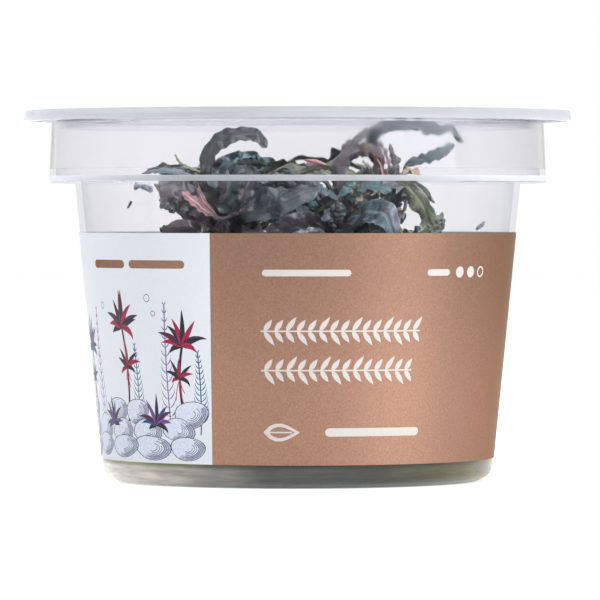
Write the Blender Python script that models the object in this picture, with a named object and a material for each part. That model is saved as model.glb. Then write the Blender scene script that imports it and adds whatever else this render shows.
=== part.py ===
"""A bucephalandra growing in a clear culture cup, with its lid, wrap label and gel.

Metres, +Z up. The origin is the middle of the ring that the cup stands on, and -Y is the front.
"""

import math
from typing import NamedTuple

import bmesh
import bpy
from mathutils import Matrix, Vector
from mathutils.bvhtree import BVHTree

MM = 0.001
PIECE_GAP = 0.3 * MM
TURN_STEPS = 60
STEP_ANGLE = math.tau / TURN_STEPS
MERGE_DISTANCE = 0.001 * MM
ROUND_PART_ANGLE = math.radians(35)
LEAF_PART_ANGLE = math.radians(50)

# The cup, from its foot to its rim
CUP_WALL = 1.05 * MM
FOOT_RING_INNER = 29.2 * MM
FOOT_RING_OUTER = 31.1 * MM
BASE_RECESS = 1.0 * MM
BASE_CORNER = 2.4 * MM
FLOOR_TOP = 2.0 * MM
FLOOR_CORNER = 1.6 * MM
BODY_FOOT_RADIUS = 33.47 * MM
BODY_TOP_RADIUS = 38.55 * MM
LEDGE_UNDERSIDE = 51.46 * MM
LEDGE_CORNER = 0.7 * MM
COLLAR_FOOT_RADIUS = 43.04 * MM
COLLAR_TOP_RADIUS = 42.6 * MM
FLANGE_RADIUS = 46.2 * MM
FLANGE_UNDERSIDE = 62.2 * MM
FLANGE_THICKNESS = 0.65 * MM

# The lid, pushed down over the flange
LID_TOP = 64.0 * MM
LID_PLATE = 0.85 * MM
LIP_TOP_RADIUS = 47.07 * MM
LIP_FOOT_RADIUS = 47.5 * MM
LIP_WALL = 0.9 * MM
LIP_FOOT = 62.2 * MM
PLUG_RADIUS = 41.2 * MM
PLUG_WALL = 0.9 * MM
PLUG_FOOT = 60.9 * MM

# The label, a sleeve that leaves a gap at the back
LABEL_FOOT = 4.04 * MM
LABEL_TOP = 43.0 * MM
LABEL_THICKNESS = 0.25 * MM
LABEL_GAP = 0.12 * MM
LABEL_OPEN_STEPS = 2
BACK_ANGLE = math.pi / 2

# The gel
GEL_TOP = 8.6 * MM
GEL_CORNER = 1.4 * MM

# The plant
STEM_FOOT_RADIUS = 2.1 * MM
STEM_TOP_RADIUS = 1.45 * MM
STEM_SIDES = 8
STEM_RINGS = 8
STEM_JOINT_SWELL = 0.12
POCKET_CLEARANCE = 0.45 * MM
STALK_HALF_WIDTH = 0.75 * MM
STALK_SHARE = 0.3
FLATTENING_SHARE = 0.2
BLADE_HALF_THICKNESS = 0.34 * MM
BLADE_CHANNEL = 0.16
BLADE_WIDEST_EARLY = 0.8
BLADE_FULLNESS = 0.75
LEAF_RINGS = 11
CURVE_STEPS = 24
WALL_CLEARANCE = 0.5 * MM

# Where the tangle keeps to when it is seen from the front, above the label
TANGLE_LEFT = -24.5 * MM
TANGLE_RIGHT = 26.0 * MM

# Each material's colour, roughness, transmission and index of refraction
LOOKS = {
    "clear plastic": ((0.86, 0.86, 0.9), 0.06, 1.0, 1.49),
    "gel": ((0.62, 0.64, 0.5), 0.1, 0.9, 1.34),
    "film": ((0.55, 0.36, 0.27), 0.42, 0.0, 1.49),
    "stem": ((0.2, 0.16, 0.1), 0.42, 0.0, 1.49),
    "slate": ((0.06, 0.085, 0.1), 0.42, 0.0, 1.49),
    "teal": ((0.03, 0.1, 0.11), 0.42, 0.0, 1.49),
    "olive": ((0.13, 0.16, 0.07), 0.42, 0.0, 1.49),
    "plum": ((0.14, 0.09, 0.12), 0.42, 0.0, 1.49),
    "tan": ((0.36, 0.27, 0.18), 0.42, 0.0, 1.49),
}


class Leaf(NamedTuple):
    """A leaf placed by hand: where it leaves its stem (0 foot, 1 tip) and the points of its midrib."""

    node: float
    width: float
    roll: float
    tone: str
    way: tuple


class Whorl(NamedTuple):
    """Leaves that wind up a stem, each a golden angle on from the last."""

    count: int
    last_node: float
    first_turn: float
    length: float
    rise: tuple
    width: float
    tones: tuple


# The points that the middle of each shoot's stem passes, in millimetres
STEMS = {
    "front_left": ((-7, -10, 3.6), (-10, -14, 20), (-12.5, -18, 34), (-13, -20, 44.5)),
    "front_middle": ((2, -5, 3.6), (4, -9, 20), (6.5, -14, 35), (7, -16, 45.2)),
    "right": ((9, -1, 3.6), (12, -3, 22), (15, -6, 40), (16, -8, 53)),
    "back_left": ((-13, 8, 3.6), (-15, 10, 22), (-16, 10, 43)),
    "back_middle": ((-2, 13, 3.6), (-1, 18, 22), (-1, 19, 45)),
    "back_right": ((15, 11, 3.6), (17, 14, 22), (17, 14, 45)),
    "low_right": ((18, -12, 3.6), (20, -16, 20), (21, -17, 31)),
    "low_left": ((-19, -5, 3.6), (-22, -8, 18), (-23, -9, 30)),
}

PLACED_LEAVES = {
    "front_left": (
        Leaf(0.94, 4.6, 80, "slate",
             ((-16, -22.5, 46.4), (-19.2, -24, 49.6), (-21.4, -24.5, 50.2), (-23.2, -24.2, 47))),
        Leaf(0.97, 3.6, 35, "slate",
             ((-15.6, -20.5, 48), (-18.4, -20, 51), (-20.6, -18, 53.4), (-26, -14, 53.4))),
        Leaf(1.0, 3.4, 90, "slate",
             ((-15.4, -19, 50), (-15.4, -19, 54.4), (-14, -19, 57.6), (-10.8, -19, 59.4),
              (-7.4, -19, 59.5), (-5.2, -19, 57.4))),
        Leaf(0.98, 4.0, 62, "teal",
             ((-12.8, -16, 49), (-12.6, -13, 53.2), (-8.2, -9, 55.2), (-3.4, -6, 54.4))),
        Leaf(0.95, 5.4, 78, "teal",
             ((-12, -23.6, 46.6), (-11, -26, 49.2), (-9.4, -25.5, 51.6), (-6.6, -22, 53.6))),
        Leaf(0.91, 7.2, 74, "slate",
             ((-9.6, -23, 45.4), (-6, -25.5, 47.2), (-1, -27, 48.6), (3.6, -26.2, 50.4))),
        Leaf(0.84, 4.4, 50, "plum",
             ((-15.4, -22.8, 41.6), (-18.4, -24.6, 43.6), (-21, -25, 43.8), (-23.2, -24.2, 42))),
    ),
    "front_middle": (
        Leaf(0.9, 3.8, 70, "plum",
             ((3.8, -12.8, 46.4), (-0.4, -11.8, 49.2), (-4.2, -12, 50.6), (-8.2, -13, 49.4))),
        Leaf(0.97, 4.2, 56, "olive",
             ((5.6, -16, 49.6), (3.8, -16, 52.6), (0.6, -16, 54), (-3, -16, 53.8), (-5.6, -16, 52.4))),
        Leaf(0.99, 3.0, 82, "tan",
             ((9, -17.6, 47.8), (10.6, -17.8, 49.8), (12.4, -16, 52))),
        Leaf(0.92, 5.2, 80, "slate",
             ((9.6, -19.6, 45.2), (12.4, -22, 46.4), (15, -23.4, 45.6), (16.4, -24, 41.6))),
        Leaf(1.0, 3.8, 74, "slate",
             ((7.2, -18.8, 50), (6.6, -19, 53.6), (8.4, -17.6, 57.4), (12, -14.6, 61))),
        Leaf(0.9, 4.2, 66, "plum",
             ((9.4, -13.4, 46), (10.8, -11.6, 48.8), (11.4, -9.8, 51.4))),
        Leaf(0.88, 4.8, 66, "slate",
             ((3.8, -19, 44), (0.4, -21.6, 44.2), (-3.4, -22.8, 43), (-6.4, -23, 40.6))),
        Leaf(0.8, 4.4, 62, "teal",
             ((3.6, -10, 42), (1.2, -7, 46.4), (-1.4, -4.6, 49), (-4.8, -2.6, 50))),
    ),
    "right": (
        Leaf(1.0, 4.4, 42, "slate",
             ((14, -8.6, 56.8), (12.9, -9, 59.6), (15.6, -9, 61), (21, -8.6, 60.9), (26, -7.4, 60.2),
              (28.4, -6.4, 58.4))),
        Leaf(0.98, 3.6, 55, "teal",
             ((18.8, -6.6, 54.6), (22, -4.6, 55.6), (25, -2.6, 56.8), (27, -1, 58.4))),
        Leaf(0.97, 4.6, 58, "slate",
             ((13.4, -6.6, 55.2), (10.8, -5.6, 57), (8, -5, 56.8), (4.4, -4.4, 54.6))),
        Leaf(0.99, 3.6, 60, "plum",
             ((14.4, -10.8, 55.6), (12.4, -12, 57), (9.8, -12.4, 56.6), (7.4, -12.2, 54.2))),
        Leaf(0.95, 2.8, 66, "tan",
             ((18, -10.4, 53), (20, -11.2, 53.4), (21.2, -12, 52.6))),
        Leaf(0.92, 5.2, 80, "olive",
             ((17.8, -12.4, 51.4), (20, -15.6, 49.8), (21.9, -18, 46.8), (22.4, -19, 43.8),
              (22.2, -19.4, 41))),
        Leaf(0.88, 1.9, 80, "slate",
             ((19, -8.6, 49.4), (21.6, -11, 50.4), (23.4, -13.6, 48))),
        Leaf(0.84, 4.8, 64, "slate",
             ((14, -11, 47.4), (13.4, -14.6, 46.4), (12.6, -16.6, 43.2))),
    ),
}

WHORLS = {
    "back_left": Whorl(6, 0.7, 205, 24, (56, 22, -20), 5.0, ("slate", "teal", "olive")),
    "back_middle": Whorl(6, 0.7, 80, 24, (54, 20, -24), 5.2, ("teal", "slate", "plum")),
    "back_right": Whorl(6, 0.7, 320, 24, (58, 24, -16), 5.0, ("olive", "slate", "teal")),
    "low_right": Whorl(2, 0.85, 350, 24, (62, 40, 14), 4.6, ("slate", "olive")),
    "low_left": Whorl(3, 0.7, 150, 24, (62, 40, 6), 4.6, ("teal", "plum", "slate")),
}
GOLDEN_ANGLE = 137.5
TURN_TRIES = 24
TURN_STEP = 15
SHORTENED = (1.0, 0.86, 0.72)
RISE_SHARES = (0.36, 0.36, 0.28)


def clear_scene():
    for thing in list(bpy.data.objects):
        bpy.data.objects.remove(thing, do_unlink=True)


def make_material(name, colour, roughness, transmission, ior):
    material = bpy.data.materials.new(name)
    material.use_nodes = True
    shader = material.node_tree.nodes["Principled BSDF"]
    shader.inputs["Base Color"].default_value = (*colour, 1.0)
    shader.inputs["Roughness"].default_value = roughness
    shader.inputs["Metallic"].default_value = 0.0
    shader.inputs["Transmission Weight"].default_value = transmission
    shader.inputs["IOR"].default_value = ior
    return material


def finish(name, mesh_edit, material, sharp_angle=ROUND_PART_ANGLE):
    """Turns an edited mesh into a named object with outward faces and smooth round parts."""
    bmesh.ops.recalc_face_normals(mesh_edit, faces=mesh_edit.faces)
    mesh = bpy.data.meshes.new(name)
    mesh_edit.to_mesh(mesh)
    mesh_edit.free()
    mesh.shade_smooth()
    mesh.set_sharp_from_angle(angle=sharp_angle)
    mesh.materials.append(material)
    piece = bpy.data.objects.new(name, mesh)
    bpy.context.scene.collection.objects.link(piece)
    return piece


def arc(radius_at, height_at, size, start, end, steps):
    """Outline points (radius, height) on an arc, from one angle to another in degrees."""
    points = []
    for step in range(steps + 1):
        angle = math.radians(start + (end - start) * step / steps)
        points.append((radius_at + size * math.cos(angle), height_at + size * math.sin(angle)))
    return points


def turned(name, outline, material):
    """A solid of revolution from an outline that begins and ends on the axis."""
    edit = bmesh.new()
    points = [edit.verts.new((radius, 0.0, height)) for radius, height in outline]
    edges = [edit.edges.new(pair) for pair in zip(points, points[1:])]
    bmesh.ops.spin(
        edit,
        geom=points + edges,
        cent=(0, 0, 0),
        axis=(0, 0, 1),
        angle=math.tau,
        steps=TURN_STEPS,
        use_merge=True,
    )
    bmesh.ops.remove_doubles(edit, verts=edit.verts, dist=MERGE_DISTANCE)
    return finish(name, edit, material)


def loft(rings, tip=None):
    """A closed skin over rings of points, capped at its ends or brought to a point."""
    edit = bmesh.new()
    loops = [[edit.verts.new(point) for point in ring] for ring in rings]
    sides = len(loops[0])
    for lower, upper in zip(loops, loops[1:]):
        for side in range(sides):
            after = (side + 1) % sides
            edit.faces.new((lower[side], lower[after], upper[after], upper[side]))
    edit.faces.new(loops[0][::-1])
    if tip is None:
        edit.faces.new(loops[-1])
        return edit
    point = edit.verts.new(tip)
    for side in range(sides):
        edit.faces.new((loops[-1][side], loops[-1][(side + 1) % sides], point))
    return edit


def body_radius(height):
    """Outer radius of the cup's tapered body."""
    return BODY_FOOT_RADIUS + (BODY_TOP_RADIUS - BODY_FOOT_RADIUS) * height / LEDGE_UNDERSIDE


def cup_outline():
    ledge_top = LEDGE_UNDERSIDE + CUP_WALL
    rim_top = FLANGE_UNDERSIDE + FLANGE_THICKNESS
    corner_top = BASE_CORNER
    outside = [(0.0, BASE_RECESS), (FOOT_RING_INNER - BASE_RECESS, BASE_RECESS)]
    outside += [(FOOT_RING_INNER, 0.0), (FOOT_RING_OUTER, 0.0)]
    outside += arc(body_radius(corner_top) - BASE_CORNER, corner_top, BASE_CORNER, -60, 0, 3)
    outside += [(body_radius(LEDGE_UNDERSIDE), LEDGE_UNDERSIDE)]
    outside += arc(
        COLLAR_FOOT_RADIUS - LEDGE_CORNER, LEDGE_UNDERSIDE + LEDGE_CORNER, LEDGE_CORNER, -90, 0, 2
    )
    outside += [(COLLAR_TOP_RADIUS, FLANGE_UNDERSIDE), (FLANGE_RADIUS, FLANGE_UNDERSIDE)]
    inside = [(FLANGE_RADIUS, rim_top), (COLLAR_TOP_RADIUS - CUP_WALL, rim_top)]
    inside += [(COLLAR_FOOT_RADIUS - CUP_WALL, ledge_top + LEDGE_CORNER)]
    inside += [(COLLAR_FOOT_RADIUS - CUP_WALL - LEDGE_CORNER, ledge_top)]
    edge_radius = body_radius(LEDGE_UNDERSIDE) - CUP_WALL
    inside += [(edge_radius + LEDGE_CORNER, ledge_top), (edge_radius, ledge_top - LEDGE_CORNER)]
    floor_radius = body_radius(FLOOR_TOP) - CUP_WALL
    inside += arc(floor_radius - FLOOR_CORNER, FLOOR_TOP + FLOOR_CORNER, FLOOR_CORNER, 0, -90, 2)
    return outside + inside + [(0.0, FLOOR_TOP)]


def lid_outline():
    underside = LID_TOP - LID_PLATE
    return [
        (0.0, LID_TOP),
        (LIP_TOP_RADIUS, LID_TOP),
        (LIP_FOOT_RADIUS, LIP_FOOT),
        (LIP_FOOT_RADIUS - LIP_WALL, LIP_FOOT),
        (LIP_TOP_RADIUS - LIP_WALL + PIECE_GAP, underside),
        (PLUG_RADIUS, underside),
        (PLUG_RADIUS, PLUG_FOOT),
        (PLUG_RADIUS - PLUG_WALL, PLUG_FOOT),
        (PLUG_RADIUS - PLUG_WALL, underside),
        (0.0, underside),
    ]


def make_label(material):
    """A thin sleeve on the same facets as the cup's body."""
    first = BACK_ANGLE + STEP_ANGLE * LABEL_OPEN_STEPS / 2
    rings = []
    for step in range(TURN_STEPS - LABEL_OPEN_STEPS + 1):
        angle = first + STEP_ANGLE * step
        out = Vector((math.cos(angle), math.sin(angle), 0))
        ring = []
        for height, outward in ((LABEL_FOOT, 0), (LABEL_FOOT, 1), (LABEL_TOP, 1), (LABEL_TOP, 0)):
            radius = body_radius(height) + LABEL_GAP + LABEL_THICKNESS * outward
            ring.append(out * radius + Vector((0, 0, height)))
        rings.append(ring)
    return finish("label", loft(rings), material)


def make_gel(material):
    """The gel fills the cup's foot, with an open pocket round each stem."""
    low = FLOOR_TOP + PIECE_GAP
    low_radius = body_radius(low) - CUP_WALL - PIECE_GAP
    top_radius = body_radius(GEL_TOP) - CUP_WALL - PIECE_GAP
    outline = [(0.0, GEL_TOP), (top_radius, GEL_TOP)]
    outline += [(low_radius, low + GEL_CORNER), (low_radius - GEL_CORNER, low), (0.0, low)]
    gel = turned("gel", outline, material)
    for name, stem in STEMS.items():
        rings = stem_rings(stem, POCKET_CLEARANCE)
        rings.insert(0, [point - Vector((0, 0, POCKET_CLEARANCE)) for point in rings[0]])
        pocket = finish("pocket_" + name, loft(rings), material)
        pocket.hide_render = True
        pocket.display_type = "WIRE"
        cut = gel.modifiers.new("pocket " + name, "BOOLEAN")
        cut.object = pocket
        cut.operation = "DIFFERENCE"
    return gel


def smooth_way(points, count):
    """Evenly spaced points on a smooth curve through the given ones."""
    lead_in = 2 * points[0] - points[1]
    lead_out = 2 * points[-1] - points[-2]
    knots = [lead_in, *points, lead_out]
    fine = []
    for before, start, end, after in zip(knots, knots[1:], knots[2:], knots[3:]):
        for step in range(CURVE_STEPS):
            t = step / CURVE_STEPS
            straight = 2 * start + (end - before) * t
            bend = (2 * before - 5 * start + 4 * end - after) * t * t
            turn = (3 * start - before - 3 * end + after) * t**3
            fine.append((straight + bend + turn) / 2)
    fine.append(points[-1])
    reach = [0.0]
    for start, end in zip(fine, fine[1:]):
        reach.append(reach[-1] + (end - start).length)
    spaced = []
    index = 0
    for step in range(count):
        wanted = reach[-1] * step / (count - 1)
        while index < len(reach) - 2 and reach[index + 1] < wanted:
            index += 1
        share = (wanted - reach[index]) / (reach[index + 1] - reach[index])
        spaced.append(fine[index].lerp(fine[index + 1], share))
    return spaced


def directions(way):
    """Unit directions along a row of points."""
    ahead = [(end - start).normalized() for start, end in zip(way, way[1:])]
    middle = [(first + second).normalized() for first, second in zip(ahead, ahead[1:])]
    return [ahead[0], *middle, ahead[-1]]


def carried(way, first_side):
    """A side direction carried along a row of points without twisting."""
    sides = []
    side = first_side
    for along in directions(way):
        side = (side - along * side.dot(along)).normalized()
        sides.append(side)
    return sides


def millimetres(points):
    return [Vector(point) * MM for point in points]


def stem_way(stem):
    return smooth_way(millimetres(stem), STEM_RINGS)


def stem_radius(share):
    return STEM_FOOT_RADIUS + (STEM_TOP_RADIUS - STEM_FOOT_RADIUS) * share


def stem_rings(stem, extra=0.0):
    way = stem_way(stem)
    along = directions(way)
    rings = []
    for index, side in enumerate(carried(way, Vector((1, 0, 0)))):
        other = along[index].cross(side)
        swell = 1 + STEM_JOINT_SWELL * (index % 2)
        radius = stem_radius(index / (STEM_RINGS - 1)) * swell + extra
        ring = []
        for step in range(STEM_SIDES):
            angle = math.tau * step / STEM_SIDES
            ring.append(way[index] + (side * math.cos(angle) + other * math.sin(angle)) * radius)
        rings.append(ring)
    return rings


def leaf_base(stem, node, toward):
    """The point just off the stem's surface where a stalk begins, on the side it grows to."""
    way = stem_way(stem)
    place = node * (len(way) - 1)
    index = min(int(place), len(way) - 2)
    middle = way[index].lerp(way[index + 1], place - index)
    along = (way[index + 1] - way[index]).normalized()
    out = toward - middle
    out = (out - along * out.dot(along)).normalized()
    clear = stem_radius(node) * (1 + STEM_JOINT_SWELL) + PIECE_GAP + STALK_HALF_WIDTH
    return middle + out * clear


def blade_half_width(share, width):
    """Half the leaf's width at a share of its length: a thin stalk, then a lance-shaped blade."""
    if share <= STALK_SHARE:
        return STALK_HALF_WIDTH
    blade = (share - STALK_SHARE) / (1 - STALK_SHARE)
    belly = math.sin(math.pi * blade**BLADE_WIDEST_EARLY) ** BLADE_FULLNESS * width / 2
    return max(belly, STALK_HALF_WIDTH * (1 - blade))


def leaf_rings(way, width, roll, extra=0.0):
    """Four-sided rings: two margins, the channel above and the midrib's keel below."""
    chord = way[-1] - way[0]
    side = chord.cross(Vector((0, 0, 1))).normalized()
    first = directions(way)[0]
    side = (side - first * side.dot(first)).normalized()
    side = Matrix.Rotation(math.radians(roll), 3, first) @ side
    rings = []
    for index, across in enumerate(carried(way, side)[:-1]):
        share = index / (len(way) - 1)
        upward = across.cross(directions(way)[index])
        half = blade_half_width(share, width) + extra
        flat = min(1.0, max(0.0, (share - STALK_SHARE) / FLATTENING_SHARE))
        thick = STALK_HALF_WIDTH + (BLADE_HALF_THICKNESS - STALK_HALF_WIDTH) * flat + extra
        fold = half * BLADE_CHANNEL * flat
        middle = way[index]
        rings.append(
            [
                middle - across * half + upward * fold,
                middle - upward * thick,
                middle + across * half + upward * fold,
                middle + upward * (thick - fold),
            ]
        )
    return rings


def make_leaf(name, way, width, roll, tone, materials):
    rings = leaf_rings(way, width * MM, roll)
    return finish(name, loft(rings, way[-1]), materials[tone], LEAF_PART_ANGLE)


def placed_leaf_way(stem, leaf):
    way = millimetres(leaf.way)
    return smooth_way([leaf_base(stem, leaf.node, way[0]), *way], LEAF_RINGS)


def arching_way(stem, node, turn, length, rise):
    """A leaf's midrib that climbs from the stem, levels out and droops."""
    out = Vector((math.cos(turn), math.sin(turn), 0))
    crown = stem_way(stem)[-1]
    points = [leaf_base(stem, node, crown + out * length)]
    for share, angle in zip(RISE_SHARES, rise):
        step = length * share
        climb = math.radians(angle)
        points.append(
            points[-1] + out * step * math.cos(climb) + Vector((0, 0, step * math.sin(climb)))
        )
    return smooth_way(points, LEAF_RINGS)


def inside_cup(points):
    """Whether the points stay clear of the cup's walls, the gel and the lid, and in the tangle."""
    for point in points:
        wall = body_radius(point.z) - CUP_WALL - WALL_CLEARANCE
        if math.hypot(point.x, point.y) > wall or point.z < GEL_TOP + WALL_CLEARANCE:
            return False
        if point.z > PLUG_FOOT - WALL_CLEARANCE:
            return False
        if point.z > LABEL_TOP and not TANGLE_LEFT < point.x < TANGLE_RIGHT:
            return False
    return True


def surface_tree(edit):
    bmesh.ops.triangulate(edit, faces=edit.faces)
    return BVHTree.FromBMesh(edit)


def object_tree(piece):
    edit = bmesh.new()
    edit.from_mesh(piece.data)
    tree = surface_tree(edit)
    edit.free()
    return tree


def free_leaf_way(stem, whorl, node, first_turn, placed):
    """The first way round the stem that touches nothing already there, shorter if it has to be."""
    for shortened in SHORTENED:
        for attempt in range(TURN_TRIES):
            turn = math.radians(first_turn + TURN_STEP * attempt)
            way = arching_way(stem, node, turn, whorl.length * MM * shortened, whorl.rise)
            rings = leaf_rings(way, whorl.width * MM, 0, PIECE_GAP)
            if not inside_cup([point for ring in rings for point in ring] + [way[-1]]):
                continue
            edit = loft(rings, way[-1])
            tree = surface_tree(edit)
            edit.free()
            if not any(tree.overlap(other) for other in placed):
                return way
    raise ValueError("no free place for a leaf")


def make_shoots(materials):
    placed = []
    for name, stem in STEMS.items():
        rings = stem_rings(stem)
        piece = finish("stem_" + name, loft(rings), materials["stem"], LEAF_PART_ANGLE)
        placed.append(object_tree(piece))
    for name, leaves in PLACED_LEAVES.items():
        for number, leaf in enumerate(leaves, 1):
            way = placed_leaf_way(STEMS[name], leaf)
            label = f"leaf_{name}_{number}"
            piece = make_leaf(label, way, leaf.width, leaf.roll, leaf.tone, materials)
            placed.append(object_tree(piece))
    for name, whorl in WHORLS.items():
        for number in range(whorl.count):
            node = 1 - (1 - whorl.last_node) * number / (whorl.count - 1)
            first_turn = whorl.first_turn + GOLDEN_ANGLE * number
            way = free_leaf_way(STEMS[name], whorl, node, first_turn, placed)
            tone = whorl.tones[number % len(whorl.tones)]
            label = f"leaf_{name}_{number + 1}"
            piece = make_leaf(label, way, whorl.width, 0, tone, materials)
            placed.append(object_tree(piece))


def main():
    clear_scene()
    materials = {name: make_material(name, *look) for name, look in LOOKS.items()}
    turned("cup", cup_outline(), materials["clear plastic"])
    turned("lid", lid_outline(), materials["clear plastic"])
    make_label(materials["film"])
    make_gel(materials["gel"])
    make_shoots(materials)


main()
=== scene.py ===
# %% [markdown]
# # A bucephalandra in its culture cup
# Nurseries raise this small water plant in a clear plastic cup: a tapered tub with a wide
# collar, a lid that presses over its rim, a printed film wrapped round it, a layer of gel at
# the bottom, and a tangle of dark leaves that has grown up to the lid.
#
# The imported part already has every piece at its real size. This lesson loads it, then gives
# each piece its look: a finely turned cup and lid, a printed film, a gel that lets light
# through, and leaves with rippled edges, midribs and veins in place of the plain solids.

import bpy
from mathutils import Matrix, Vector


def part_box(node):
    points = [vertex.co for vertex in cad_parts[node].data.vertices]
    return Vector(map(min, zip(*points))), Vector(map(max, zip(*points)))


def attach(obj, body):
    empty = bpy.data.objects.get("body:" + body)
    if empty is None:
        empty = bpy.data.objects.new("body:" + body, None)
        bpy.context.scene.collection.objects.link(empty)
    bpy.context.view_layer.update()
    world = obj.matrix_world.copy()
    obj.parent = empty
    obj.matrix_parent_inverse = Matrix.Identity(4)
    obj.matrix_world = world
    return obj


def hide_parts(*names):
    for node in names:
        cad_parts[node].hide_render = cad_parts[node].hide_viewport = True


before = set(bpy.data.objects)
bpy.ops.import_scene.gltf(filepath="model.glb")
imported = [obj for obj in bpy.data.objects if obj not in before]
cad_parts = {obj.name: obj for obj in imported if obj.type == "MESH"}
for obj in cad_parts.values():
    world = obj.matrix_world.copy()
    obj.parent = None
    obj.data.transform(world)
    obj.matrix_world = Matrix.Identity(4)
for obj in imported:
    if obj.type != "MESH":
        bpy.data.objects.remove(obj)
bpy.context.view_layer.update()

# %% Modules of Python and Blender
import math
import random
from typing import NamedTuple

import bmesh
import bpy
from mathutils import Matrix, Vector, noise
from mathutils.bvhtree import BVHTree
from mathutils.geometry import delaunay_2d_cdt

MM = 0.001
BODY = "root"
print("Blender", bpy.app.version_string)

# %% [markdown]
# ## The camera
# The photograph was taken from about a metre away with a long lens, a little below the rim,
# so the lid's top is a thin line and the sides hardly converge. A long lens is what makes a
# round cup look calm and upright. Blender's camera looks along its own -Z, so a quarter turn
# about X makes it look along +Y, and the rest of the turn tips it down by one degree.

# %% Camera
CAMERA_PLACE = (0.0004, -1.0, 0.0477)
CAMERA_PITCH_DOWN = 0.943
CAMERA_LENS = 346.0
SENSOR_WIDTH = 36.0


def add_camera():
    """The camera of the photograph."""
    data = bpy.data.cameras.new("product camera")
    data.lens = CAMERA_LENS
    data.sensor_width = SENSOR_WIDTH
    camera = bpy.data.objects.new("product camera", data)
    camera.location = CAMERA_PLACE
    camera.rotation_euler = (math.radians(90 - CAMERA_PITCH_DOWN), 0, 0)
    bpy.context.scene.collection.objects.link(camera)
    bpy.context.scene.camera = camera


add_camera()
print("camera", CAMERA_PLACE, "with a lens of", CAMERA_LENS, "mm")

# %% [markdown]
# ## A few helpers for node trees
# Each material is one Principled shader. The parts of its pattern that change over the
# surface come from node groups, so a reader sees one box with named inputs instead of a
# web of nodes. Sockets on a group are made with `interface.new_socket`. `add_node` makes one
# node and sets or links its inputs, so a pattern reads as a few short lines.

# %% Groups and materials
NUMBER = "NodeSocketFloat"
VECTOR = "NodeSocketVector"
COLOUR = "NodeSocketColor"


def new_group(name, inputs, outputs):
    """An empty node group with named sockets, what it is given, and what it has to return."""
    group = bpy.data.node_groups.new(name, "ShaderNodeTree")
    for label, kind, value in inputs:
        socket = group.interface.new_socket(label, in_out="INPUT", socket_type=kind)
        socket.default_value = value
    for label, kind in outputs:
        group.interface.new_socket(label, in_out="OUTPUT", socket_type=kind)
    given = group.nodes.new("NodeGroupInput").outputs
    result = group.nodes.new("NodeGroupOutput").inputs
    return group, given, result


def new_material(name, roughness, **sockets):
    """A Principled material. A name such as Coat_Weight sets the socket Coat Weight."""
    material = bpy.data.materials.new(name)
    material.use_nodes = True
    shader = material.node_tree.nodes["Principled BSDF"]
    shader.inputs["Roughness"].default_value = roughness
    fill_all(material.node_tree, shader, sockets)
    return material, material.node_tree, shader


# %% Nodes and their inputs
def fill(tree, socket, value):
    """Links an input to another node's output, or sets it to a plain value."""
    if isinstance(value, bpy.types.NodeSocket):
        tree.links.new(value, socket)
    else:
        socket.default_value = value


def fill_all(tree, node, values):
    """Fills inputs by name. A name such as Patch_Scale means the input Patch Scale."""
    for label, value in values.items():
        fill(tree, node.inputs[label.replace("_", " ")], value)


def add_node(tree, kind, **values):
    """A shader node with its inputs set or linked by name."""
    node = tree.nodes.new("ShaderNode" + kind)
    fill_all(tree, node, values)
    return node


def use_group(tree, group, **values):
    """A node group placed in a tree, its inputs set or linked by name. Returns its outputs."""
    node = add_node(tree, "Group")
    node.node_tree = group
    fill_all(tree, node, values)
    return node.outputs


# %% Nodes for numbers and colours
def add_math(tree, operation, *values, clamp=False):
    """A Math node whose inputs are sockets or plain numbers. Returns its output."""
    node = add_node(tree, "Math")
    node.operation = operation
    node.use_clamp = clamp
    for socket, value in zip(node.inputs, values):
        fill(tree, socket, value)
    return node.outputs["Value"]


def add_scaled(tree, colour, gain):
    """A colour made lighter or darker by a socket. Returns the node's output."""
    node = add_node(tree, "VectorMath")
    node.operation = "SCALE"
    tree.links.new(colour, node.inputs[0])
    tree.links.new(gain, node.inputs["Scale"])
    return node.outputs["Vector"]


def add_range(tree, value, low, high, to_low=0.0, to_high=1.0):
    """A smooth step of a value from one range to another."""
    ends = {"From_Min": low, "From_Max": high, "To_Min": to_low, "To_Max": to_high}
    node = add_node(tree, "MapRange", Value=value, **ends)
    node.interpolation_type = "SMOOTHSTEP"
    return node.outputs["Result"]


def add_mix(tree, share, first, second, blend="MIX"):
    """A colour mix whose inputs are sockets, numbers or colours. Returns its output."""
    node = add_node(tree, "Mix")
    node.data_type = "RGBA"
    node.blend_type = blend
    inputs = [socket for socket in node.inputs if socket.type == "RGBA"]
    for socket, value in zip([node.inputs[0], *inputs], (share, first, second)):
        fill(tree, socket, value)
    return [socket for socket in node.outputs if socket.type == "RGBA"][0]


# %% Nodes for patterns and relief
def add_noise(tree, coordinates, scale, detail=2.0):
    """Soft noise between nought and one, mostly near a half. Returns its output."""
    node = add_node(tree, "TexNoise", Vector=coordinates, Scale=scale, Detail=detail)
    return node.outputs["Fac"]


def place_coordinates(tree, stretch=(1, 1, 1)):
    """Object coordinates, stretched along each axis."""
    place = add_node(tree, "TexCoord").outputs["Object"]
    return add_node(tree, "Mapping", Vector=place, Scale=stretch).outputs["Vector"]


def place_axes(tree):
    """Object coordinates, one output for each axis."""
    return add_node(tree, "SeparateXYZ", Vector=place_coordinates(tree)).outputs


def add_bump(tree, shader, height, strength, distance):
    """Makes a shader see a height as low relief, at most a distance deep."""
    bump = add_node(tree, "Bump", Strength=strength, Distance=distance, Height=height)
    tree.links.new(bump.outputs["Normal"], shader.inputs["Normal"])


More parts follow.
